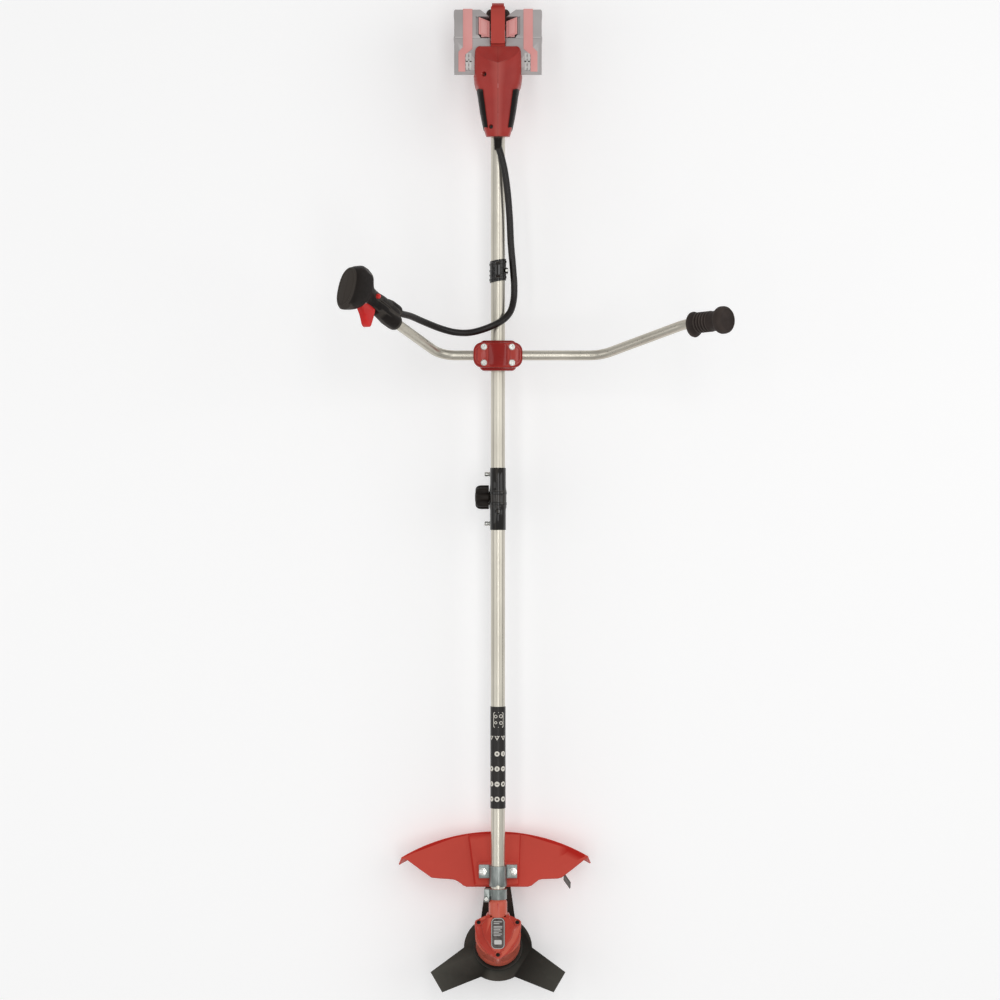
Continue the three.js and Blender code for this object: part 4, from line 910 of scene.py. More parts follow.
def buildClamp():
    barZ, top = bar["height"], clamp["top"]
    cap = slab(roundedOutline(*clamp["cap"], 9), barZ + 0.4, top - 1.2)
    # a rolled rim, a raised middle pad and a field at each end
    bevelWhere(cap, lambda p, e: p.z > top - 1.4, 3.4, 5)
    pad = slab(roundedOutline(33, 40, 5), top - 4, top, 1, 3)
    ends = [slab([(side * 29.6 + x, y) for x, y in roundedOutline(18, 26, 6)], top - 4, top - 0.2,
                 1, 3) for side in (-1, 1)]
    lowerBlock = slab(roundedOutline(*clamp["block"], 7), 0.5, barZ - 0.4, 2, 4)
    saddle = slab(roundedOutline(65, 41, 9), -16.5, -0.5, 2, 4)
    weld(cap, pad, *ends)
    for piece, name, node in ((cap, "clampCap", "clamp_cap"),
                              (lowerBlock, "clampBlock", "clamp_block"),
                              (saddle, "clampSaddle", "clamp_saddle")):
        tools = [rod(bar["radius"] + clearance, (-80, 0, barZ), (80, 0, barZ), 48),
                 rod(tubeRadius + clearance, (0, -60, 0), (0, 60, 0), 64)]
        for x in (-clamp["bolts"][0], clamp["bolts"][0]):
            for y in (-clamp["bolts"][1], clamp["bolts"][1]):
                tools.append(rod(clamp["boltHole"], (x, y, -13.5), (x, y, 60)))
                tools.append(rod(clamp["headHole"], (x, y, top - 1.3), (x, y, 60)))
        carve(piece, *tools)
        soften(piece, 0.5, 2, 40)
        put(piece, toolFrame @ Matrix.Translation((0, bar["y"] * mm, 0)))
        done(piece, name, "enamelRed", "frame", [node])
    for k, (x, y) in enumerate([(-1, 1), (1, 1), (-1, -1), (1, -1)]):
        bolt = socketScrew(3, 4.9, 4.8, 57, 0.58, 0.2)
        washer = turn([(3.1, -0.9), (5.4, -0.9), (5.4, 0), (3.1, 0), (3.1, -0.9)], 40)
        gather(bolt, washer)
        put(bolt, toolFrame @ Matrix.Translation(
            Vector((x * clamp["bolts"][0], bar["y"] + y * clamp["bolts"][1], top - 0.3)) * mm))
        done(bolt, "clampBolt%d" % (k + 1), "screwSteel", "frame", ["clamp_bolt_%d" % (k + 1)])


buildClamp()
print("handlebar clamp built")


# ---- handlebar

leftBend = Vector((-100, bar["y"], bar["height"]))
leftNeck = Vector((-178.8, bar["y"] + 51, 147))
rightBend = Vector((181, bar["y"], bar["height"]))
gripFoot = Vector((328, bar["y"] + 46.5, 148))
gripTop = Vector((381, bar["y"] + 48.5, 202.5))
leftArm = (leftNeck - leftBend).normalized()
gripLine = (gripTop - gripFoot).normalized()
palm = (Vector((0, 1, 0)) - leftArm * leftArm.y).normalized()
across = palm.cross(leftArm)
gripFrame = toolFrame @ basis(across, palm, leftArm, leftNeck * mm)


def buildHandlebar():
    corners = [leftNeck + leftArm * 46, leftBend, rightBend, gripFoot - gripLine * 12,
               gripTop - gripLine * 14]
    points = [corners[0]]
    for before, corner, after, reach in zip(corners, corners[1:], corners[2:], bar["bendReaches"]):
        start = corner - (corner - before).normalized() * reach
        end = corner + (after - corner).normalized() * reach
        for k in range(15):
            t = k / 14
            points.append(start * (1 - t) ** 2 + corner * 2 * t * (1 - t) + end * t * t)
    points.append(corners[-1])
    pipe = curve("pipe", [at(*p) for p in points], bar["radius"], 10)
    activate(pipe)
    bpy.ops.object.convert(target="MESH")
    pipe = closeUp(bpy.context.object)
    done(pipe, "handlebarTube", "bentAluminium", "frame", ["handlebar"], angle=50)


def buildPlainGrip():
    start = gripFoot + gripLine * 4
    length = (gripTop - start).length
    hole = bar["radius"] + 0.2
    # the flange's lower lobe hangs towards the blade
    rings = [(0, hole, hole, 0, 0), (0, 15, 15, 0, -1), (1, 18, 18.6, 0, -1.6),
             (3, 20, 21.4, 0, -2.2), (5.5, 20.4, 22, 0, -2.4), (8, 19.6, 20.8, 0, -2),
             (10, 17.8, 18.4, 0, -1), (11.5, 16.6, 16.8, 0, 0)]
    for k in range(5):
        foot = 13 + 6.4 * k
        rings += [(foot, 15.4, 15.4, 0, 0), (foot + 1.4, 15.2, 15.2, 0, 0),
                  (foot + 2.2, 17.2, 17.2, 0, 0), (foot + 3, 17.8, 17.8, 0, 0),
                  (foot + 5, 17.8, 17.8, 0, 0), (foot + 5.9, 17, 17, 0, 0)]
    rings += [(46, 16.4, 16.6, 0, 0), (length - 14, 17.2, 17.8, 0, 0),
              (length - 11, 18.6, 19.6, 0, 0), (length - 8.5, 22, 22.4, 0, 0),
              (length - 6, 23.2, 23.3, 0, 0), (length - 1, 23.3, 23.3, 0, 0),
              (length + 2.6, 22.6, 22.6, 0, 0), (length + 5, 20.8, 20.8, 0, 0),
              (length + 6.2, 18.6, 18.6, 0, 0), (length + 6.3, 17.6, 17.6, 0, 0),
              (length + 5.6, 16.8, 16.8, 0, 0), (length + 5.8, 2, 2, 0, 0)]
    grip = stack(rings, 56)
    side = Vector((0, 1, 0)) - gripLine * gripLine.y
    side.normalize()
    put(grip, toolFrame @ basis(side.cross(gripLine), side, gripLine, start * mm))
    done(grip, "plainGrip", "ribbedRubber", "frame", ["plain_grip"], angle=40)


buildHandlebar()
buildPlainGrip()
print("handlebar built")


# ---- control grip, in its own frame: X across, Y to the palm, Z up the arm

grip = {
    # along the arm, half width, half depth, middle towards the palm
    "rings": [
        (-4, 9.6, 14, 9.5), (-3, 10.6, 15.4, 9.5), (0, 11.6, 16.6, 9.5), (8, 12.4, 17.2, 9.6),
        (24, 13.4, 17.4, 9.6),
        (38, 14.4, 17.4, 9.6), (48, 15.2, 17.2, 9.6), (55, 15.4, 16.8, 9.5), (62, 15.6, 16, 9.6),
        (74, 16, 16, 10), (84, 17, 17, 10.8), (90, 18.4, 20, 12.4), (94, 19.8, 25.5, 14.6),
        (97, 20.8, 31.5, 16.6), (101, 21.4, 36.5, 16.4), (109, 21.7, 39.5, 13.4),
        (118, 21.7, 40.2, 9.4), (128, 21.2, 39.8, 4.6), (134, 20.2, 38.8, 1.6),
        (138, 18.4, 36.8, 1), (140.4, 16.4, 34.4, 1), (141, 15, 32.6, 1),
    ],
    "pivot": (-8, 96), "lockOff": (13, 12, 75),
}


def buildControlGrip():
    body = stack([(along, wide, deep, 0, middle) for along, wide, deep, middle in grip["rings"]],
                 56, 2.3)
    # collars round the cable and the bar end in rounded lobes
    cableLobe = turn([(6.6, -10), (8.4, -9.4), (9.6, -7.6), (10.4, -4), (10.6, 16), (9, 26),
                      (5, 33), (2, 36)], 40)
    put(cableLobe, shift(0, 20.6, 0))
    barLobe = turn([(9.2, -10), (11.6, -9.6), (13.4, -8), (14.2, -5), (14.6, 0), (14.6, 20),
                    (12.6, 34), (11.4, 46), (9, 53), (4, 57)], 40)
    weld(body, cableLobe, barLobe)
    # flats along the head
    edit(body)
    for place, normal in (((0, 50, 112), (0, 1, 0.1)), ((15.5, 40, 112), (0.72, 0.69, 0)),
                          ((-15.5, 40, 112), (-0.72, 0.69, 0)), ((17, -26, 112), (0.8, -0.6, 0))):
        bpy.ops.mesh.select_all(action="SELECT")
        bpy.ops.mesh.bisect(plane_co=Vector(place) * mm, plane_no=normal, use_fill=True,
                            clear_outer=True)
    # the end face sits in a fine raised rim
    pick("FACE", lambda p, f: f.normal.z > 0.99 and p.z > 140.5)
    bpy.ops.mesh.inset(thickness=1.2 * mm, depth=-0.9 * mm)
    bpy.ops.mesh.inset(thickness=1.5 * mm, depth=0.5 * mm)
    bpy.ops.object.mode_set(mode="OBJECT")

    y, z = grip["pivot"]
    lockX, lockY, lockZ = grip["lockOff"]
    carve(
        body,
        rod(bar["radius"] + 0.25, (0, 0, -30), (0, 0, 46.3), 48),
        rod(6.15, (0, 20.6, -30), (0, 20.6, -4), 40),
        block((-9.4, 8.6, 58.6), (9.4, 21.4, 91.4)),
        block((-7.1, -60, 50), (7.1, 8.6, 106)),
        rod(2.3, (-12, y, z), (12, y, z)),
        rod(4.8, (9, lockY, lockZ), (40, lockY, lockZ), 40),
        # long grooves down both flanks of the neck
        *[block((side * 13, low, 30), (side * 30, high, 64), 0.5, 2)
          for low, high in ((8.4, 10), (15.6, 16.8)) for side in (1, -1)],
    )
    for side, name in ((-1, "left"), (1, "right")):
        part = twin(body)
        carve(part, block((side * 0.15, -90, -50), (side * -90, 90, 200)))
        soften(part, 0.4, 2, 32)
        put(part, gripFrame)
        done(part, "controlGrip" + name.title(), "mouldedBlack", "frame", ["grip_shell_" + name],
             angle=24)
    bpy.data.objects.remove(body)

    lever = slab([(-5, 60), (-11, 59.6), (-18, 60), (-26, 60.6), (-34, 61.4), (-38, 63),
                  (-40, 66.4), (-39.6, 70.4), (-37, 74.4), (-31, 79), (-25, 84.6), (-20, 91),
                  (-15.6, 98), (-9, 103), (-3, 104), (-1, 90)], -6.5, 6.5, 1.8, 4)
    carve(lever, rod(2.3, (y, z, -20), (y, z, 20)))
    put(lever, gripFrame @ sideways)
    done(lever, "throttleLever", "buttonRed", "trigger_lever", ["trigger"])

    button = turn([(4.2, 0), (4.2, 6.2), (4.0, 7.2), (3.4, 8), (2.4, 8.4), (2.2, 8.9), (0, 9.2)],
                  40)
    put(button, gripFrame @ aim(grip["lockOff"], (lockX + 1, lockY, lockZ)))
    done(button, "lockButton", "buttonRed", "lock_off", ["lock_off_button"])


buildControlGrip()
print("control grip built")


# ---- split coupling, in the lying frame

coupling = {"first": 817, "last": 927, "inner": 12.8, "outer": 14.2, "axis": -21, "knob": 869,
            "screws": (828, 916), "pin": 894}


def buildCoupling():
    first, last, inner, outer = (coupling[key] for key in ("first", "last", "inner", "outer"))
    axis, knobAlong = coupling["axis"], coupling["knob"]
    shell = turn([(inner - 1, first), (outer - 0.5, first), (outer, first + 0.8),
                  (outer, first + 34), (outer + 0.5, first + 38), (outer + 1, first + 40),
                  (outer + 1, last - 40), (outer + 0.5, last - 38), (outer, last - 34),
                  (outer, last - 0.8), (outer - 0.5, last), (inner - 1, last), (inner - 1, first)],
                 72)
    lug = block((-12.9, -29.5, first + 3), (12.9, -8, last - 3), 2, 3)
    ribs = [turn([(outer - 0.6, along), (outer + 1.3, along + 0.6), (outer + 1.7, along + 2),
                  (outer + 1.7, along + 5), (outer + 1.3, along + 6.4), (outer - 0.6, along + 7)],
                 72) for along in (first + 41, first + 60)]
    boss = rod(6, (0, 8, coupling["pin"]), (0, 19.3, coupling["pin"]), 40)
    weld(shell, lug, boss, *ribs)
    tools = [block((-1.25, -31, first - 1), (1.15, -7, last + 1)),
             rod(4.55, (-33, axis - 0.05, knobAlong), (33, axis - 0.05, knobAlong), 36),
             rod(2.6, (0, 0, coupling["pin"]), (0, 40, coupling["pin"])),
             rod(4.6, (0, 16.5, coupling["pin"]), (0, 40, coupling["pin"]), 40)]
    tools += [rod(2.8, (-30, axis, along), (30, axis, along)) for along in coupling["screws"]]
    # the bore comes last, so that the cross holes leave its wall whole
    tools.append(rod(inner, (0, 0, first - 9), (0, 0, last + 9), 72))
    carve(shell, *tools)
    soften(shell, 0.3, 2, 50)
    put(shell, lyingFrame)
    done(shell, "couplingShell", "enamelBlack", "frame", ["coupling_body"])

    # eight soft lobes, drawn as one outline and narrowed to a domed end
    points = []
    for k in range(96):
        angle = 2 * math.pi * k / 96
        radius = 1 - 0.14 * (0.5 - 0.5 * math.cos(8 * angle)) ** 2
        points.append((radius * math.cos(angle), radius * math.sin(angle)))
    domed = [(0, 20.6), (0.8, 21.3), (14, 21.3), (18, 20.7), (21, 19.2), (23, 17), (24, 14)]
    knob = stack([(along, radius, radius, 0, 0) for along, radius in domed], 96, section=points)
    collar = turn([(9, -2), (9, 0.5)], 40)
    stud = turn([(4, -28.8), (4, 1)], 32)
    cap = turn([(8, 23), (8, 24), (7.4, 24.6), (0, 24.9)], 40)
    weld(knob, collar, stud, cap)
    place = (-16.1, axis, knobAlong)
    put(knob, lyingFrame @ aim(place, (place[0] - 10, place[1], place[2])))
    done(knob, "clampingKnob", "mouldedBlack", "coupling_knob", ["clamp_knob"],
         angle=40)

    for along, node in zip(coupling["screws"], ("coupling_screw_upper", "coupling_screw_lower")):
        screw = turn([(2.5, -26.4), (2.5, 0), (4.2, 0), (4.3, 0.4), (4.3, 2.6), (3.6, 3.2),
                      (3.6, 4.4), (4.1, 5), (4.1, 9.4), (3.4, 10.6), (2.2, 11), (2.2, 9), (0, 9)],
                     36)
        put(screw, lyingFrame @ aim((-13.2, axis, along), (-20, axis, along)))
        done(screw, "couplingScrew%d" % along, "screwSteel", "frame", [node])

    pin = turn([(2, 12.8), (2, 16.6), (3.9, 17), (3.9, 21.6), (3.3, 22.6), (3.5, 23.2), (0, 23.5)],
               36)
    put(pin, toolFrame @ Matrix.Translation((0, -coupling["pin"] * mm, 0)))
    done(pin, "lockingPin", "enamelBlack", "coupling_pin", ["lock_pin"])


buildCoupling()
print("coupling built")


# ---- sleeve with printed marks, in the lying frame

sleeve = {
    "first": 1239, "last": 1419, "radius": 13.5, "inner": 12.7,
    # where the marks lie: distances along, and degrees round
    "group": 1262, "triangles": 1294, "rows": (1322, 1348.5, 1375.5, 1402),
    "columns": (-57, -7, 43),
}


# Wraps a flat mark round the sleeve: X becomes the way round and Y the way along.
def wrapMark(points, around, along, hollow=None):
    mark = slab(points, 0, 0.12)
    if hollow:
        carve(mark, slab(hollow, -1, 1))
    edit(mark)
    bpy.ops.mesh.select_all(action="SELECT")
    bpy.ops.mesh.quads_convert_to_tris()
    bpy.ops.mesh.subdivide(number_cuts=1)
    bpy.ops.object.mode_set(mode="OBJECT")
    for vertex in mark.data.vertices:
        place = vertex.co / mm
        angle = math.radians(around) + place.x / sleeve["radius"]
        reach = sleeve["radius"] + place.z - 0.02
        vertex.co = Vector((reach * math.sin(angle), reach * math.cos(angle), along - place.y)) * mm
    return mark


def buildSleeve():
    first, last, radius, inner = (sleeve[key] for key in ("first", "last", "radius", "inner"))
    wrap = turn([(inner, first), (radius - 0.2, first), (radius, first + 0.3), (radius, last - 0.3),
                 (radius - 0.2, last), (inner, last), (inner, first)], 72)
    put(wrap, lyingFrame)
    done(wrap, "labelSleeve", "sleeveBlack", "lower_unit", ["label_sleeve"])

    marks = []
    for row, along in enumerate(sleeve["rows"]):
        for column, around in enumerate(sleeve["columns"]):
            if (row, column) == (0, 0):
                continue
            hole = [disc(2.2, 6), disc(1.7, 12),
                    [(-0.9, -2.4), (0.9, -2.4), (0.9, 2.4), (-0.9, 2.4)],
                    [(-2.4, -0.7), (2.4, -0.7), (2.4, 0.7), (-2.4, 0.7)]][(row + column) % 4]
            marks.append(wrapMark(disc(4.6, 24), around, along, hole))
    triangle = [(-4.6, 3.6), (0, -4.4), (4.6, 3.6)]
    inside = [(-2.4, 2.3), (0, -1.8), (2.4, 2.3)]
    for around in sleeve["columns"]:
        marks.append(wrapMark(triangle, around, sleeve["triangles"], inside))
    group = sleeve["group"]
    marks.append(wrapMark(roundedOutline(19, 27, 2.5, 4), 4, group, roundedOutline(17, 25, 1.8, 4)))
    for x, y, size in ((-5, 6, 3), (4.6, 6.4, 3.4), (-5, -5, 2.6), (4.6, -5.4, 3.2)):
        around = 4 + math.degrees(x / radius)
        marks.append(wrapMark(disc(size, 24), around, group - y, disc(size - 0.9, 6)))
    printed = gather(*marks)
    put(printed, lyingFrame)
    done(printed, "sleevePrint", "printWhite", "lower_unit")


buildSleeve()
print("sleeve built")


# ---- guard and its bracket

guardFrame = toolFrame @ shift(0, -1560, -15) @ tilt(-35)
guard = {
    "radius": 303, "depth": 107.7, "middle": -4, "left": -173.3, "right": 161.6,
    "skirt": 46, "flare": 12, "thickness": 3,
    "front": [
        (-162, 51.8), (-140, 34.2), (-118.7, 17.8), (-103, 16), (-87.4, 15), (-79, 14), (-73, 11.6),
        (-67.3, 7.4), (-62, 2.6), (-56, 0), (53.2, 0), (60, 2.4), (67, 8.6), (73, 13.4), (80, 15),
        (93, 15.3), (106, 15.8), (113.4, 17.8), (133, 34), (152.2, 50.5),
    ],
}


guardScrew = (27, -1533)


def guardScrewHole(side):
    x, y = side * guardScrew[0], guardScrew[1]
    return rod(3.3, (x, y, -40), (x, y, 20))


def guardRim(x):
    radius = guard["radius"]
    return guard["depth"] - radius + math.sqrt(radius ** 2 - (x - guard["middle"]) ** 2)


# A curved wall: a section of reach and height pairs carried round the arc's centre.
def arcWall(section, centre, left, right):
    angles = [math.atan2(guardRim(x) - centre[1], x - centre[0]) for x in (right, left)]
    deselect()
    bpy.ops.mesh.primitive_circle_add(vertices=len(section), radius=mm, fill_type="NGON")
    wall = bpy.context.object
    bpy.ops.object.mode_set(mode="EDIT")
    shape = bmesh.from_edit_mesh(wall.data)
    for vertex, (reach, height) in zip(shape.verts, section):
        vertex.co = Vector((centre[0] + reach * math.cos(angles[0]),
                            centre[1] + reach * math.sin(angles[0]), height)) * mm
    bmesh.update_edit_mesh(wall.data)
    bpy.ops.mesh.select_all(action="SELECT")
    bpy.ops.mesh.spin(steps=72, angle=angles[0] - angles[1],
                      center=(centre[0] * mm, centre[1] * mm, 0), axis=(0, 0, 1))
    bpy.ops.object.mode_set(mode="OBJECT")
    return closeUp(wall)


def buildGuard():
    arc = [guard["right"] + (guard["left"] - guard["right"]) * k / 72 for k in range(73)]
    points = guard["front"] + [(x, guardRim(x)) for x in arc]
    centre = (guard["middle"], guard["depth"] - guard["radius"])
    shell = slab(points, -guard["thickness"], 0)
    # the skirt hangs from the rear rim, leaning out
    rim, flare, foot = guard["radius"], guard["radius"] + guard["flare"], -guard["skirt"]
    skirt = [(rim - 3, 0), (rim - 1.2, 0), (rim, -1.4), (flare - 1, foot + 2), (flare, foot),
             (flare - 3, foot), (rim - 3, -3)]
    wall = arcWall(skirt, centre, guard["left"], guard["right"])
    panel = slab([(-42, 0.6), (37, 0.6), (41, guardRim(41) - 4), (-54, guardRim(-54) - 4)], -1.5, 5,
                 2.2, 4)
    weld(shell, wall, panel)
    put(shell, guardFrame)
    boss = block((-36, -1546.5, -40), (36, -1520.4, -12.4), 2, 3)
    keepAbove = block((-90, -90, -1.5), (90, 90, 60))
    put(keepAbove, guardFrame)
    put(boss, toolFrame)
    combine(boss, [keepAbove], "INTERSECT")
    weld(shell, boss)
    tools = [block((-36.2, -1565, -12.3), (36.2, -1519, 40)),
             rod(13.1, (0, -1640, 0), (0, -1300, 0), 64)]
    tools += [guardScrewHole(side) for side in (-1, 1)]
    tools.append(block((-400, -1900, -217), (400, -1300, -117)))
    carve(shell, *putAll(tools, toolFrame))
    soften(shell, 0.5, 2, 34)
    done(shell, "bladeGuard", "guardRed", "lower_unit", ["guard"], angle=30)

    knife = block((-1, -9, -9), (1, 11, 15))
    put(knife, guardFrame @ shift(124, 16, -18.3)
        @ tilt(32, "Z"))
    done(knife, "lineKnife", "darkSteel", "lower_unit", ["line_cutter"])


def buildBracket():
    inner, outer = 12.8, 15.4
    profile = [(-34, -12), (-inner, -12), (-inner, 0)]
    profile += arcPoints((0, 0), inner, 180, 0, 25)[1:-1]
    profile += [(inner, 0), (inner, -12), (34, -12), (34, -9), (outer + 1.2, -9), (outer, -7.8),
                (outer, 0)]
    profile += arcPoints((0, 0), outer, 0, 180, 25)[1:-1]
    profile += [(-outer, 0), (-outer, -7.8), (-outer - 1.2, -9), (-34, -9)]
    strap = slab(profile, 1521, 1557)
    put(strap, lyingFrame)
    tools = []
    for side in (-1, 1):
        tools.append(block((side * 15.9, -1560, -40), (side * 40, -1545, 40)))
        tools.append(guardScrewHole(side))
    # a scallop at the strap's front edge
    tools.append(rod(5, (0, -1558.8, 0), (0, -1558.8, 40), 40))
    carve(strap, *putAll(tools, toolFrame))
    soften(strap, 0.6, 3, 36)
    done(strap, "guardStrap", "zincPlate", "lower_unit", ["guard_bracket"])
    for side, name in ((-1, "left"), (1, "right")):
        bolt = turn([(3, -17), (3, -0.1), (6.6, 0), (6.6, 0.9), (5.2, 1), (5.2, 3.6), (4.6, 4.4),
                     (2.4, 4.6), (2.4, 2.6), (0, 2.6)], 40)
        put(bolt, toolFrame @ shift(side * guardScrew[0], guardScrew[1], -8.7))
        done(bolt, "guardBolt" + name.title(), "screwSteel", "lower_unit", ["guard_screw_" + name])


neckScrew = (-20.6, -1578.6)


def buildNeckClamp():
    band = turn([(13, 1561.5), (15.3, 1561.5), (15.7, 1562), (15.7, 1579.6), (15.3, 1580),
                 (13, 1580), (13, 1561.5)], 72)
    put(band, lyingFrame)
    ear = block((-24.6, -1585.6, -6), (-14.5, -1561.6, 6), 1.2, 3)
    put(ear, toolFrame)
    weld(band, ear)
    tools = [block((-28, -1590, -0.8), (-12.3, -1558, 0.8)),
             rod(14.1, (0, -1590, 0), (0, -1550, 0), 72),
             rod(17.3, (0, -1652, 0), (0, -1581.5, 0), 64),
             rod(2.3, (*neckScrew, -8), (*neckScrew, 20))]
    carve(band, *putAll(tools, toolFrame))
    soften(band, 0.4, 2, 36)
    done(band, "neckBand", "zincPlate", "lower_unit", ["neck_clamp"])
    screw = socketScrew(2, 3.9, 3.9, 11)
    put(screw, toolFrame @ shift(*neckScrew, 6.3))
    done(screw, "neckScrew", "screwSteel", "lower_unit", ["neck_clamp_screw"])


buildGuard()
buildBracket()
buildNeckClamp()
print("guard built")


# ---- motor head, in its own frame: the blade's centre, Z up the motor's axis

headFrame = toolFrame @ shift(0, -1674.5, -38.97) @ tilt(-30)
motor = {"radius": 39.4, "low": 12, "top": 72, "cover": 80, "circle": 39.5, "lobe": 6.8,
         "neck": 16.3}
lobePlaces = [(motor["circle"] * math.cos(math.radians(a)),
               motor["circle"] * math.sin(math.radians(a))) for a in (30, 150, 270)]


# The same turned piece at each of the three lobes.
def atLobes(profile, sides):
    return [put(turn(profile, sides), shift(x, y, 0)) for x, y in lobePlaces]


def coverOutline():
    points = []
    lobe = motor["lobe"]
    reach = motor["circle"] + lobe
    for k in range(3):
        angle = 30 + 120 * k
        points += arcPoints(lobePlaces[k], lobe, angle - 50, angle + 50, 9)
        start = Vector(points[-1])
        nextPlace = lobePlaces[(k + 1) % 3]
        end = Vector(arcPoints(nextPlace, lobe, angle + 70, angle + 80, 2)[0])
        middle = math.radians(90 + 120 * k)
        bulge = Vector((math.cos(middle), math.sin(middle))) * 1.03 * reach
        for j in range(1, 10):
            t = j / 10
            points.append(tuple(start * (1 - t) ** 2 + bulge * 2 * t * (1 - t) + end * t * t))
    return points


def buildMotor():
    low, top, radius = motor["low"], motor["top"], motor["radius"]
    can = turn([(radius - 6, low), (radius - 3, low + 1), (radius - 0.6, low + 3.6),
                (radius, low + 6), (radius, low + 22), (radius - 0.7, low + 22.6),
                (radius - 0.7, low + 24), (radius, low + 24.6), (radius, top - 9),
                (radius + 0.8, top - 7), (radius + 0.8, top)], 96)
    weld(can, *atLobes([(2, top - 32), (5, top - 28), (motor["lobe"], top - 24),
                        (motor["lobe"], top)], 40))
    put(can, headFrame)

    neck = turn([(10, 1652), (18.6, 1652), (motor["neck"] + 1.6, 1640), (motor["neck"] + 0.5, 1628),
                 (motor["neck"], 1616), (motor["neck"], 1586), (motor["neck"] - 0.6, 1583.4),
                 (motor["neck"] - 1.8, 1582), (13.9, 1582), (13.9, 1561.4), (12, 1561.2)][::-1], 72)
    put(neck, lyingFrame)
    shoulder = block((-21, -1640, -26), (21, -1606, 2), 6, 4)
    put(shoulder, toolFrame)
    aboveTop = put(block((-60, -60, top), (60, 60, top + 90)), headFrame)
    nearAxis = put(rod(60, (0, -1720, 0), (0, -1634.2, 0)), toolFrame)
    combine(aboveTop, [nearAxis], "INTERSECT")
    carve(neck, aboveTop)
    weld(can, neck, shoulder)
    tools = [put(turn([(radius - 4, low + 8), (radius - 4, top + 5)], 72), headFrame),
             put(turn([(8.3, -2), (8.3, top)], 40), headFrame),
             put(rod(tubeRadius + clearance, (0, -1603.3, 0), (0, -1540, 0), 64), toolFrame),
             put(rod(6, (0, -1645, 0), (0, -1590, 0)), toolFrame),
             put(block((-1.2, -1580, 9), (1.2, -1520, 40)), toolFrame)]
    tools += putAll(atLobes([(2.3, top - 14), (2.3, top + 2)], 24), headFrame)
    carve(can, *tools)
    soften(can, 0.6, 3, 38)
    done(can, "motorCan", "motorRed", "lower_unit", ["motor_housing"], angle=30)

    cover = slab(coverOutline(), top + 0.3, motor["cover"] - 2.4)
    bevelWhere(cover, lambda p, e: p.z > motor["cover"] - 2.6, 1.4, 3)
    # a raised field, narrow towards the far lobe, inside the lobes
    raised = slab([(-30, 14), (-20, 27.6), (0, 32.6), (20, 27.6), (30, 14), (24, -8), (10, -31),
                   (4.4, -35), (-4.4, -35), (-10, -31), (-24, -8)], motor["cover"] - 4,
                  motor["cover"], 1.8, 4)
    seats = atLobes([(motor["lobe"] - 1, 70), (motor["lobe"] - 1, motor["cover"] - 0.6),
                     (motor["lobe"] - 1.8, motor["cover"])], 40)
    keep = slab(coverOutline(), top + 0.3, motor["cover"] + 1)
    for seat in seats:
        combine(seat, [twin(keep)], "INTERSECT")
    bpy.data.objects.remove(keep)
    weld(cover, raised, *seats)
    tools = atLobes([(4, motor["cover"] - 4), (4, motor["cover"] + 4)], 32)
    tools += atLobes([(2.3, top - 5), (2.3, motor["cover"] + 4)], 24)
    tools.append(slab(roundedOutline(25, 58.6, 8.6, 9), motor["cover"] - 0.5, motor["cover"] + 4))
    carve(cover, *tools)
    put(cover, headFrame)
    carve(cover, put(rod(18.8, (0, -1642, 0), (0, -1560, 0), 64), toolFrame))
    soften(cover, 0.4, 2, 38)
    done(cover, "motorCover", "motorRed", "lower_unit", ["motor_cover"], angle=30)
    for k, (x, y) in enumerate(lobePlaces):
        screw = socketScrew(2, 3.4, 2.2, 16.3)
        put(screw, headFrame @ shift(x, y, motor["cover"] - 3.7))
        done(screw, "coverScrew%d" % (k + 1), "darkSteel", "lower_unit",
             ["cover_screw_%d" % (k + 1)])

    # a plate with plain bars, a badge and a rim
    face = motor["cover"]
    plate = slab(roundedOutline(24.4, 58, 8.3, 9), face - 0.5, face - 0.1, 0.12, 2)
    put(plate, headFrame @ Matrix.Translation((0, -0.001, 0)))
    done(plate, "ratingPlate", "plateGrey", "lower_unit")
    bars = []
    for y, wide in ((20.4, 15), (17, 10), (12, 15), (9.2, 15), (6.4, 12), (3.6, 14), (0.8, 9),
                    (-2, 15), (-4.8, 12)):
        bars.append(block((-7.6, y - 0.6, face - 0.2), (-7.6 + wide, y + 0.6, face + 0.02)))
    badge = slab(roundedOutline(13, 8, 1.5, 4), face - 0.2, face + 0.02)
    bars.append(put(badge, shift(0, -17, 0)))
    rim = slab(roundedOutline(22.6, 56.2, 7.6, 9), face - 0.2, face + 0.04)
    carve(rim, slab(roundedOutline(20.8, 54.4, 6.8, 9), face - 1, face + 1))
    bars.append(put(rim, Matrix.Translation((0, -0.001, 0))))
    lines = put(gather(*bars), headFrame)
    done(lines, "plateBars", "contactGrey", "lower_unit")


buildMotor()
print("motor built")


# ---- blade and its fittings, in the head's frame

blade = {"radius": 128, "disc": 61, "root": 31, "tip": 21.3, "half": 1, "arbor": 12.5}


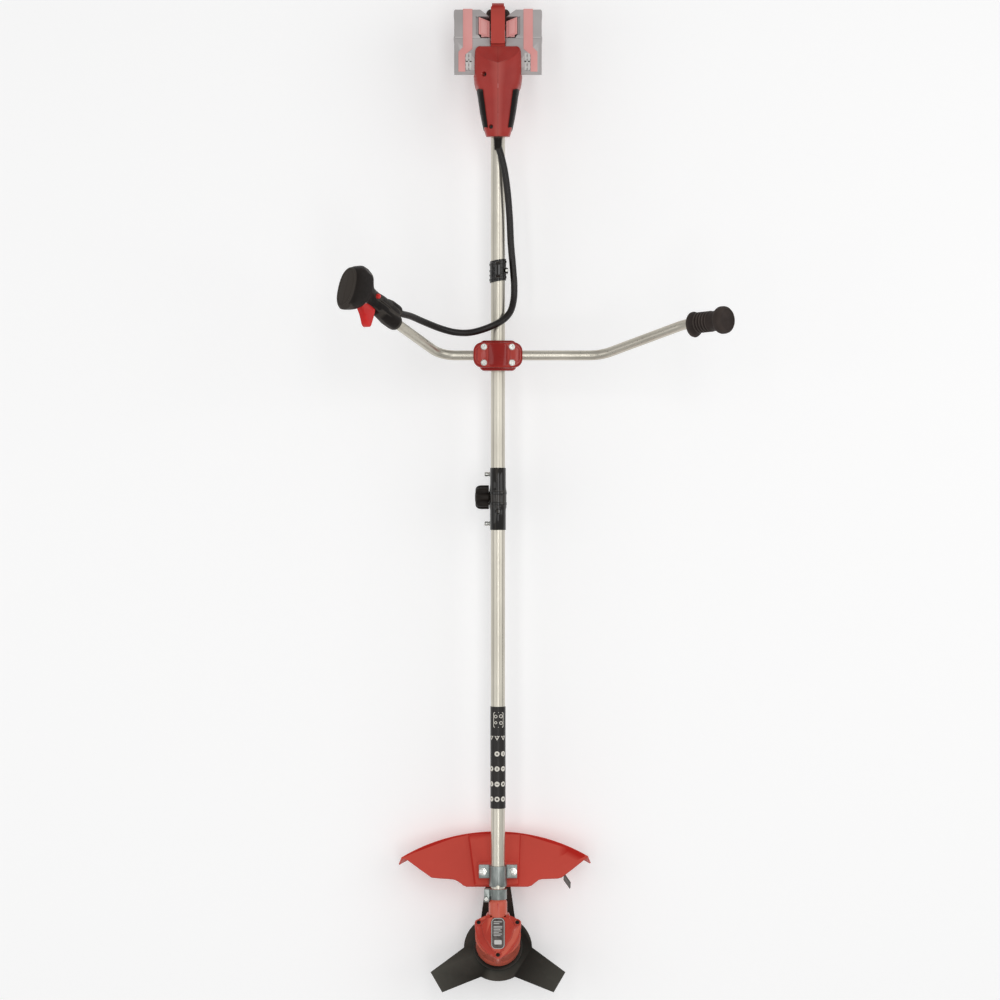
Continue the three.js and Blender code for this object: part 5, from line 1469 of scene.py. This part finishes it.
def buildCutter():
    points = []
    spread = math.degrees(math.asin(blade["root"] / blade["disc"]))
    reach = math.sqrt(blade["radius"] ** 2 - blade["tip"] ** 2)
    for k in range(3):
        angle = 90 + 120 * k
        a = math.radians(angle)
        for side in (-1, 1):
            corner = Vector((reach * math.cos(a) - side * blade["tip"] * math.sin(a),
                             reach * math.sin(a) + side * blade["tip"] * math.cos(a)))
            if side < 0:
                root = Vector(arcPoints((0, 0), blade["disc"], angle - spread, angle, 2)[0])
                points += [tuple(root), tuple(corner)]
            else:
                points.append(tuple(corner))
        points += arcPoints((0, 0), blade["disc"], angle + spread, angle + 120 - spread, 17)[:-1]
    steel = slab(points, -blade["half"], blade["half"])
    # ground edges along the teeth
    bevelWhere(steel, lambda p, e: abs(abs(p.z) - blade["half"]) < 0.01
               and math.hypot(p.x, p.y) > blade["disc"] + 3, 0.7, 1)
    carve(steel, turn([(blade["arbor"], -5), (blade["arbor"], 5)], 64))
    put(steel, headFrame)
    done(steel, "cuttingBlade", "bladeSteel", "cutter", ["blade"], angle=20)

    # the spindle's wide upper flange, 87 mm across and dark, is partly a real flange and partly
    # painted shadow: a dark part sized to the shadow the motor casts round its foot onto the blade
    spindle = turn([(5, -16), (5, -1.3), (12.2, -0.7), (12.2, 1.3), (30, 1.3), (30, 6.6), (36, 6.4),
                    (42.6, 6.2), (43.4, 6.6), (43.4, 8), (42.8, 8.5), (30, 9.2), (8, 9.6), (8, 27),
                    (19, 27), (19, 51), (8, 51), (8, 59)], 72)
    put(spindle, headFrame)
    done(spindle, "driveSpindle", "darkSteel", "cutter", ["spindle"])

    cap = turn([(5.3, -9), (19, -9), (20.6, -8.6), (28.4, -4.4), (29.6, -3.2), (30, -1.3),
                (5.3, -1.3), (5.3, -9)], 72)
    carve(cap, put(turn([(1.9, -12), (1.9, -6)], 20), shift(15, 0, 0)))
    put(cap, headFrame)
    done(cap, "capFlange", "darkSteel", "cutter", ["cap_flange"])

    nut = turn([(9, -17.5), (9.5, -17), (9.5, -9.6), (9.2, -9.3)], 6)
    bore = turn([(5.3, -30), (5.3, 5)], 40)
    collar = turn([(10.8, -11.2), (10.8, -9.3)], 48)
    weld(nut, collar)
    carve(nut, bore)
    soften(nut, 0.4, 2, 30)
    put(nut, headFrame)
    done(nut, "bladeNut", "screwSteel", "cutter", ["blade_nut"])


buildCutter()
print("cutter built")


# ---- inner pieces keep their modelled shape and take a finish

innerLooks = {
    "upper_wiring": "cableBlack", "lower_wiring": "cableBlack", "control_board": "boardGreen",
    "terminal_carrier": "mouldedBlack", "switch_module": "mouldedBlack",
    "trigger_pin": "screwSteel", "stator": "copperWire",
}
for node, look in innerLooks.items():
    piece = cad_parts[node]
    piece.data.materials.clear()
    piece.data.materials.append(finish[look])
print("inner pieces finished")

deselect()
